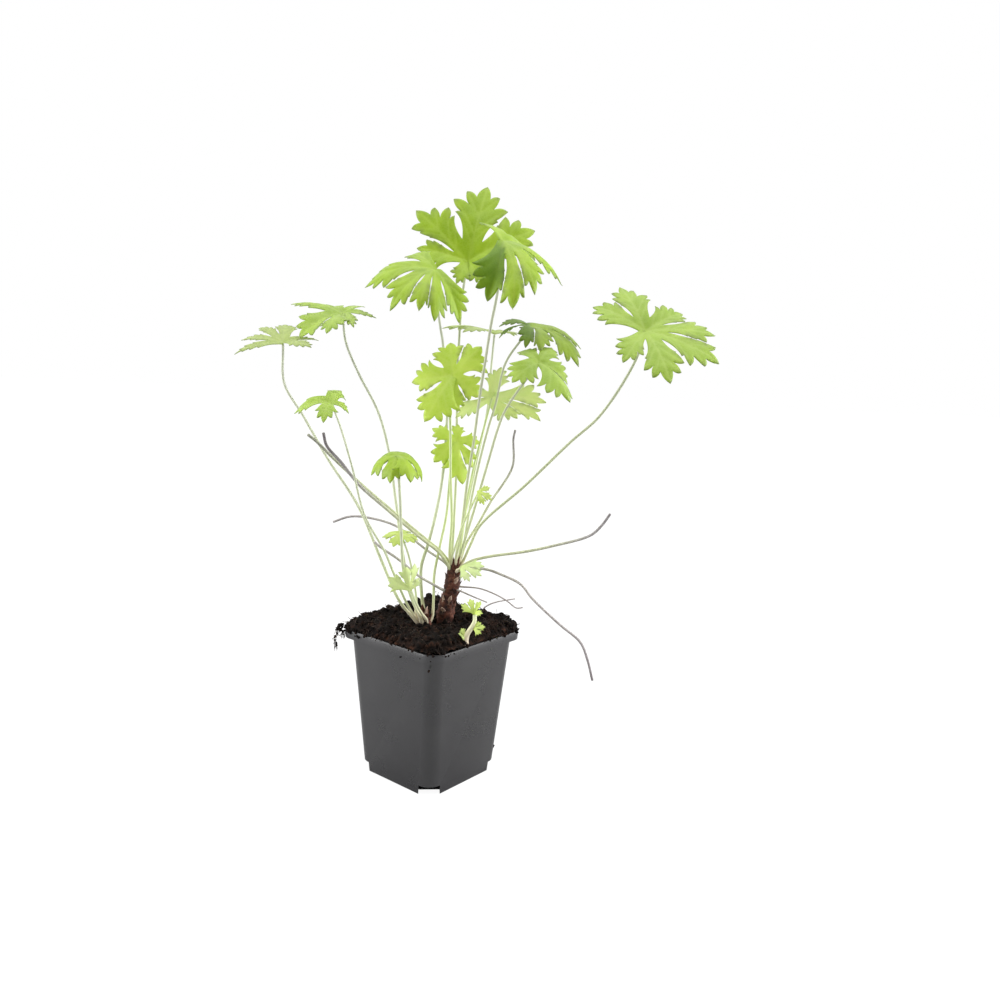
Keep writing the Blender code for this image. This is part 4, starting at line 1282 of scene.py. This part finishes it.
def under_hub(leaf):
    """Where a stalk ends: against the underside of its blade."""
    normal = blade_normal([Vector(tip) for tip in leaf["tips"]])
    hub = Vector(leaf["hub"])
    way = (hub - Vector(leaf["route"][-1])).normalized()
    slant = math.sqrt(max(0.0, 1 - way.dot(normal) ** 2))
    return hub - normal * (0.30 + 0.35 * leaf["thick"][1] * (1 + slant))


def make_leaf_stalk(node, leaf, finish):
    """The stalk of a leaf, which runs up to the underside of its blade."""
    stalk = make_petiole(node, (*leaf["route"], under_hub(leaf)), leaf["thick"], finish)


for number, (leaf_name, leaf) in enumerate(LEAVES.items()):
    make_blade("blade_" + leaf_name, "leaf_" + leaf_name, leaf, BLADE_FINISHES[leaf["tone"]], number + 1)
    make_leaf_stalk("petiole_" + leaf_name, leaf, STALK_FINISHES[leaf["stalk"], leaf["foot"]])


# Old stalks that were cut back, and fine roots on the crown and in the soil: dry, thin and a little
# kinked. They are grey-brown and darker at the cut end, and some are still green near the crown.
BARE_STEMS = {
    "cut_petiole_long_right": dict(
        thick=(2.0, 1.8), tone="green_foot",
        route=((15, 2.5, 137), (18.6, 0.8, 143), (24, 0.3, 147), (35, 0, 150.5), (62, -4, 156),
               (79, -8, 161), (103, -14, 170), (110, -15, 177), (115, -16, 185)),
    ),
    "cut_petiole_hanging": dict(
        thick=(1.8, 1.7), tone="grey",
        route=((14.5, 3, 133), (19, 1.5, 140), (24, 1, 142), (35, 0, 142), (45, -6, 140), (58, -12, 135),
               (66, -15, 126), (85, -22, 110), (98, -26, 100), (103, -28, 89), (107, -29, 75)),
    ),
    "cut_petiole_upright": dict(
        thick=(1.8, 1.6), tone="green_foot",
        route=((14.5, 5, 138), (17.6, 7.8, 146), (21, 9.5, 157), (29, 11.5, 171), (37, 14, 186),
               (52, 20, 211), (52, 23, 230), (53, 23, 236)),
    ),
    "cut_petiole_left_dark": dict(
        thick=(2.2, 1.9), tone="green_foot",
        route=((12, 3, 139), (8.6, 0.2, 145), (3, -4, 153.5), (-11, -8, 165), (-33, -13, 184),
               (-50, -16, 199), (-62, -18, 214), (-71, -18, 224), (-73, -19, 232)),
    ),
    "cut_petiole_left_pale": dict(
        thick=(2.2, 1.9), tone="living",
        route=((12, 4, 141), (9, 3.9, 146.3), (3, 1.5, 154), (-4, 1.5, 159.5), (-20, 3, 172), (-26, 3, 177),
               (-49, -2, 197), (-68, -7, 215), (-79, -9, 226), (-84, -10, 230)),
    ),
    "cut_petiole_left_low": dict(
        thick=(1.7, 1.6), tone="grey",
        route=((12, 5, 137), (8, 7, 143.5), (-4, 10.5, 151), (-10, 12, 155), (-27, 17, 167), (-48, 21, 172),
               (-60, 22, 172), (-71, 22, 168)),
    ),
    "cut_petiole_left_short": dict(
        thick=(1.7, 1.6), tone="grey",
        route=((9, 3, 125), (5, 0, 127.5), (0, -3, 131), (-10, -4.5, 137), (-24, -8, 149),
               (-36, -10.5, 157.5), (-40, -11, 161)),
    ),
    "root_long": dict(
        thick=(1.1, 0.9), tone="root",
        route=((14, 3, 129), (19, 1.5, 129), (31, -2, 129), (42, -6, 126), (50, -8, 122), (56, -10, 118),
               (60, -12, 119)),
    ),
    "root_short": dict(
        thick=(1.1, 0.9), tone="root",
        route=((14, 1.5, 127), (18, -1, 126.6), (26, -4, 124), (36, -8, 121)),
    ),
    "root_in_soil": dict(
        thick=(1.1, 0.9), tone="root",
        route=((34.5, 21, 102), (36, 22, 108.5), (42.5, 22.5, 112.5), (58, 24, 115.5)),
    ),
}
DRY_TONES = {
    "grey": ((0.56, 0.54, 0.46), (0.50, 0.47, 0.45), (0.44, 0.41, 0.41), (0.24, 0.21, 0.22)),
    "green_foot": ((0.66, 0.72, 0.40), (0.62, 0.65, 0.44), (0.44, 0.42, 0.41), (0.21, 0.19, 0.20)),
    "living": ((0.68, 0.74, 0.40), (0.66, 0.71, 0.44), (0.58, 0.62, 0.42), (0.40, 0.41, 0.33)),
    "root": ((0.44, 0.39, 0.36), (0.46, 0.42, 0.41), (0.44, 0.41, 0.41), (0.32, 0.29, 0.29)),
}
CROWN_TOP = (0.013, 0.004, 0.135)
DRY_TONES_LENGTH = 0.125


def dry_finish(name, tones):
    """Dry stalk: its colour runs from the crown outwards, with wrinkles along it."""
    material = new_finish(name, 0.78, 0.3)
    tree = material.node_tree
    place = add_node(tree, "TexCoord")
    away = add_node(tree, "VectorMath", {1: CROWN_TOP}, operation="DISTANCE")
    share = add_node(tree, "MapRange", {"From Max": DRY_TONES_LENGTH})
    wire(
        tree, (place.outputs["Object"], away.inputs[0]), (away.outputs["Value"], share.inputs["Value"]))
    colour = add_ramp(material, share.outputs[0], tuple(zip((0.05, 0.50, 0.78, 1.0), tones)))
    grain = add_grain(material, 330.0, 1400.0, 0.4)
    shade = add_ramp(material, grain.outputs["Mask"], ((0.32, (0.74, 0.72, 0.72)), (0.66, (1.0, 1.0, 1.0))))
    feed(material, "Base Color", mix_colours(material, colour, shade, blend="MULTIPLY"))
    add_bump(material, grain.outputs["Height"], 0.6, 0.0005)
    return material


DRY_FINISHES = {tone: dry_finish(tone + "_dry_stalk", tones) for tone, tones in DRY_TONES.items()}
for stem_name, stem in BARE_STEMS.items():
    dry = make_petiole(stem_name, stem["route"], stem["thick"], DRY_FINISHES[stem["tone"]], swell=0.25)


# The seedling at the front right edge of the soil: one pale leaf with rounded teeth on a thick soft stem,
# and two very small leaves on that stem. It is soft living tissue and grows straight out of the soil.
SEEDLING = dict(
    hub=(26.3, -38, 121.5), arch=0.10, width=0.32, teeth="small",
    tips=((5, -6, 2), (4, 2, 8), (-3, 4, 9), (-9, 0, 6)),
    thick=(3.8, 2.4), route=((20.2, -38.6, 98), (21.6, -39.4, 107), (23.8, -39.6, 111), (26.5, -39, 116)),
)

# Two small leaves that open straight from the seedling's stem
SEEDLING_SIDE_LEAVES = (
    dict(hub=(26.0, -40.2, 112.0), tips=((5, -4, -2), (7.5, -2, 2), (5, 1, 4)), arch=0.10, width=0.45,
         teeth="small"),
    dict(hub=(21.2, -40.2, 106.4), tips=((-3, -4, 1), (-5, -2, 3), (-3, 0, 6)), arch=0.10, width=0.45,
         teeth="small"),
)

make_blade("blade_seedling", "seedling_leaf", SEEDLING, BLADE_FINISHES["light"], 31)
for number, leaf in enumerate(SEEDLING_SIDE_LEAVES):
    make_blade(f"seedling_side_leaf_{number}", None, leaf, BLADE_FINISHES["light"], 40 + number)
make_leaf_stalk("seedling_stem", SEEDLING, STALK_FINISHES["pale", "side_shoot"])
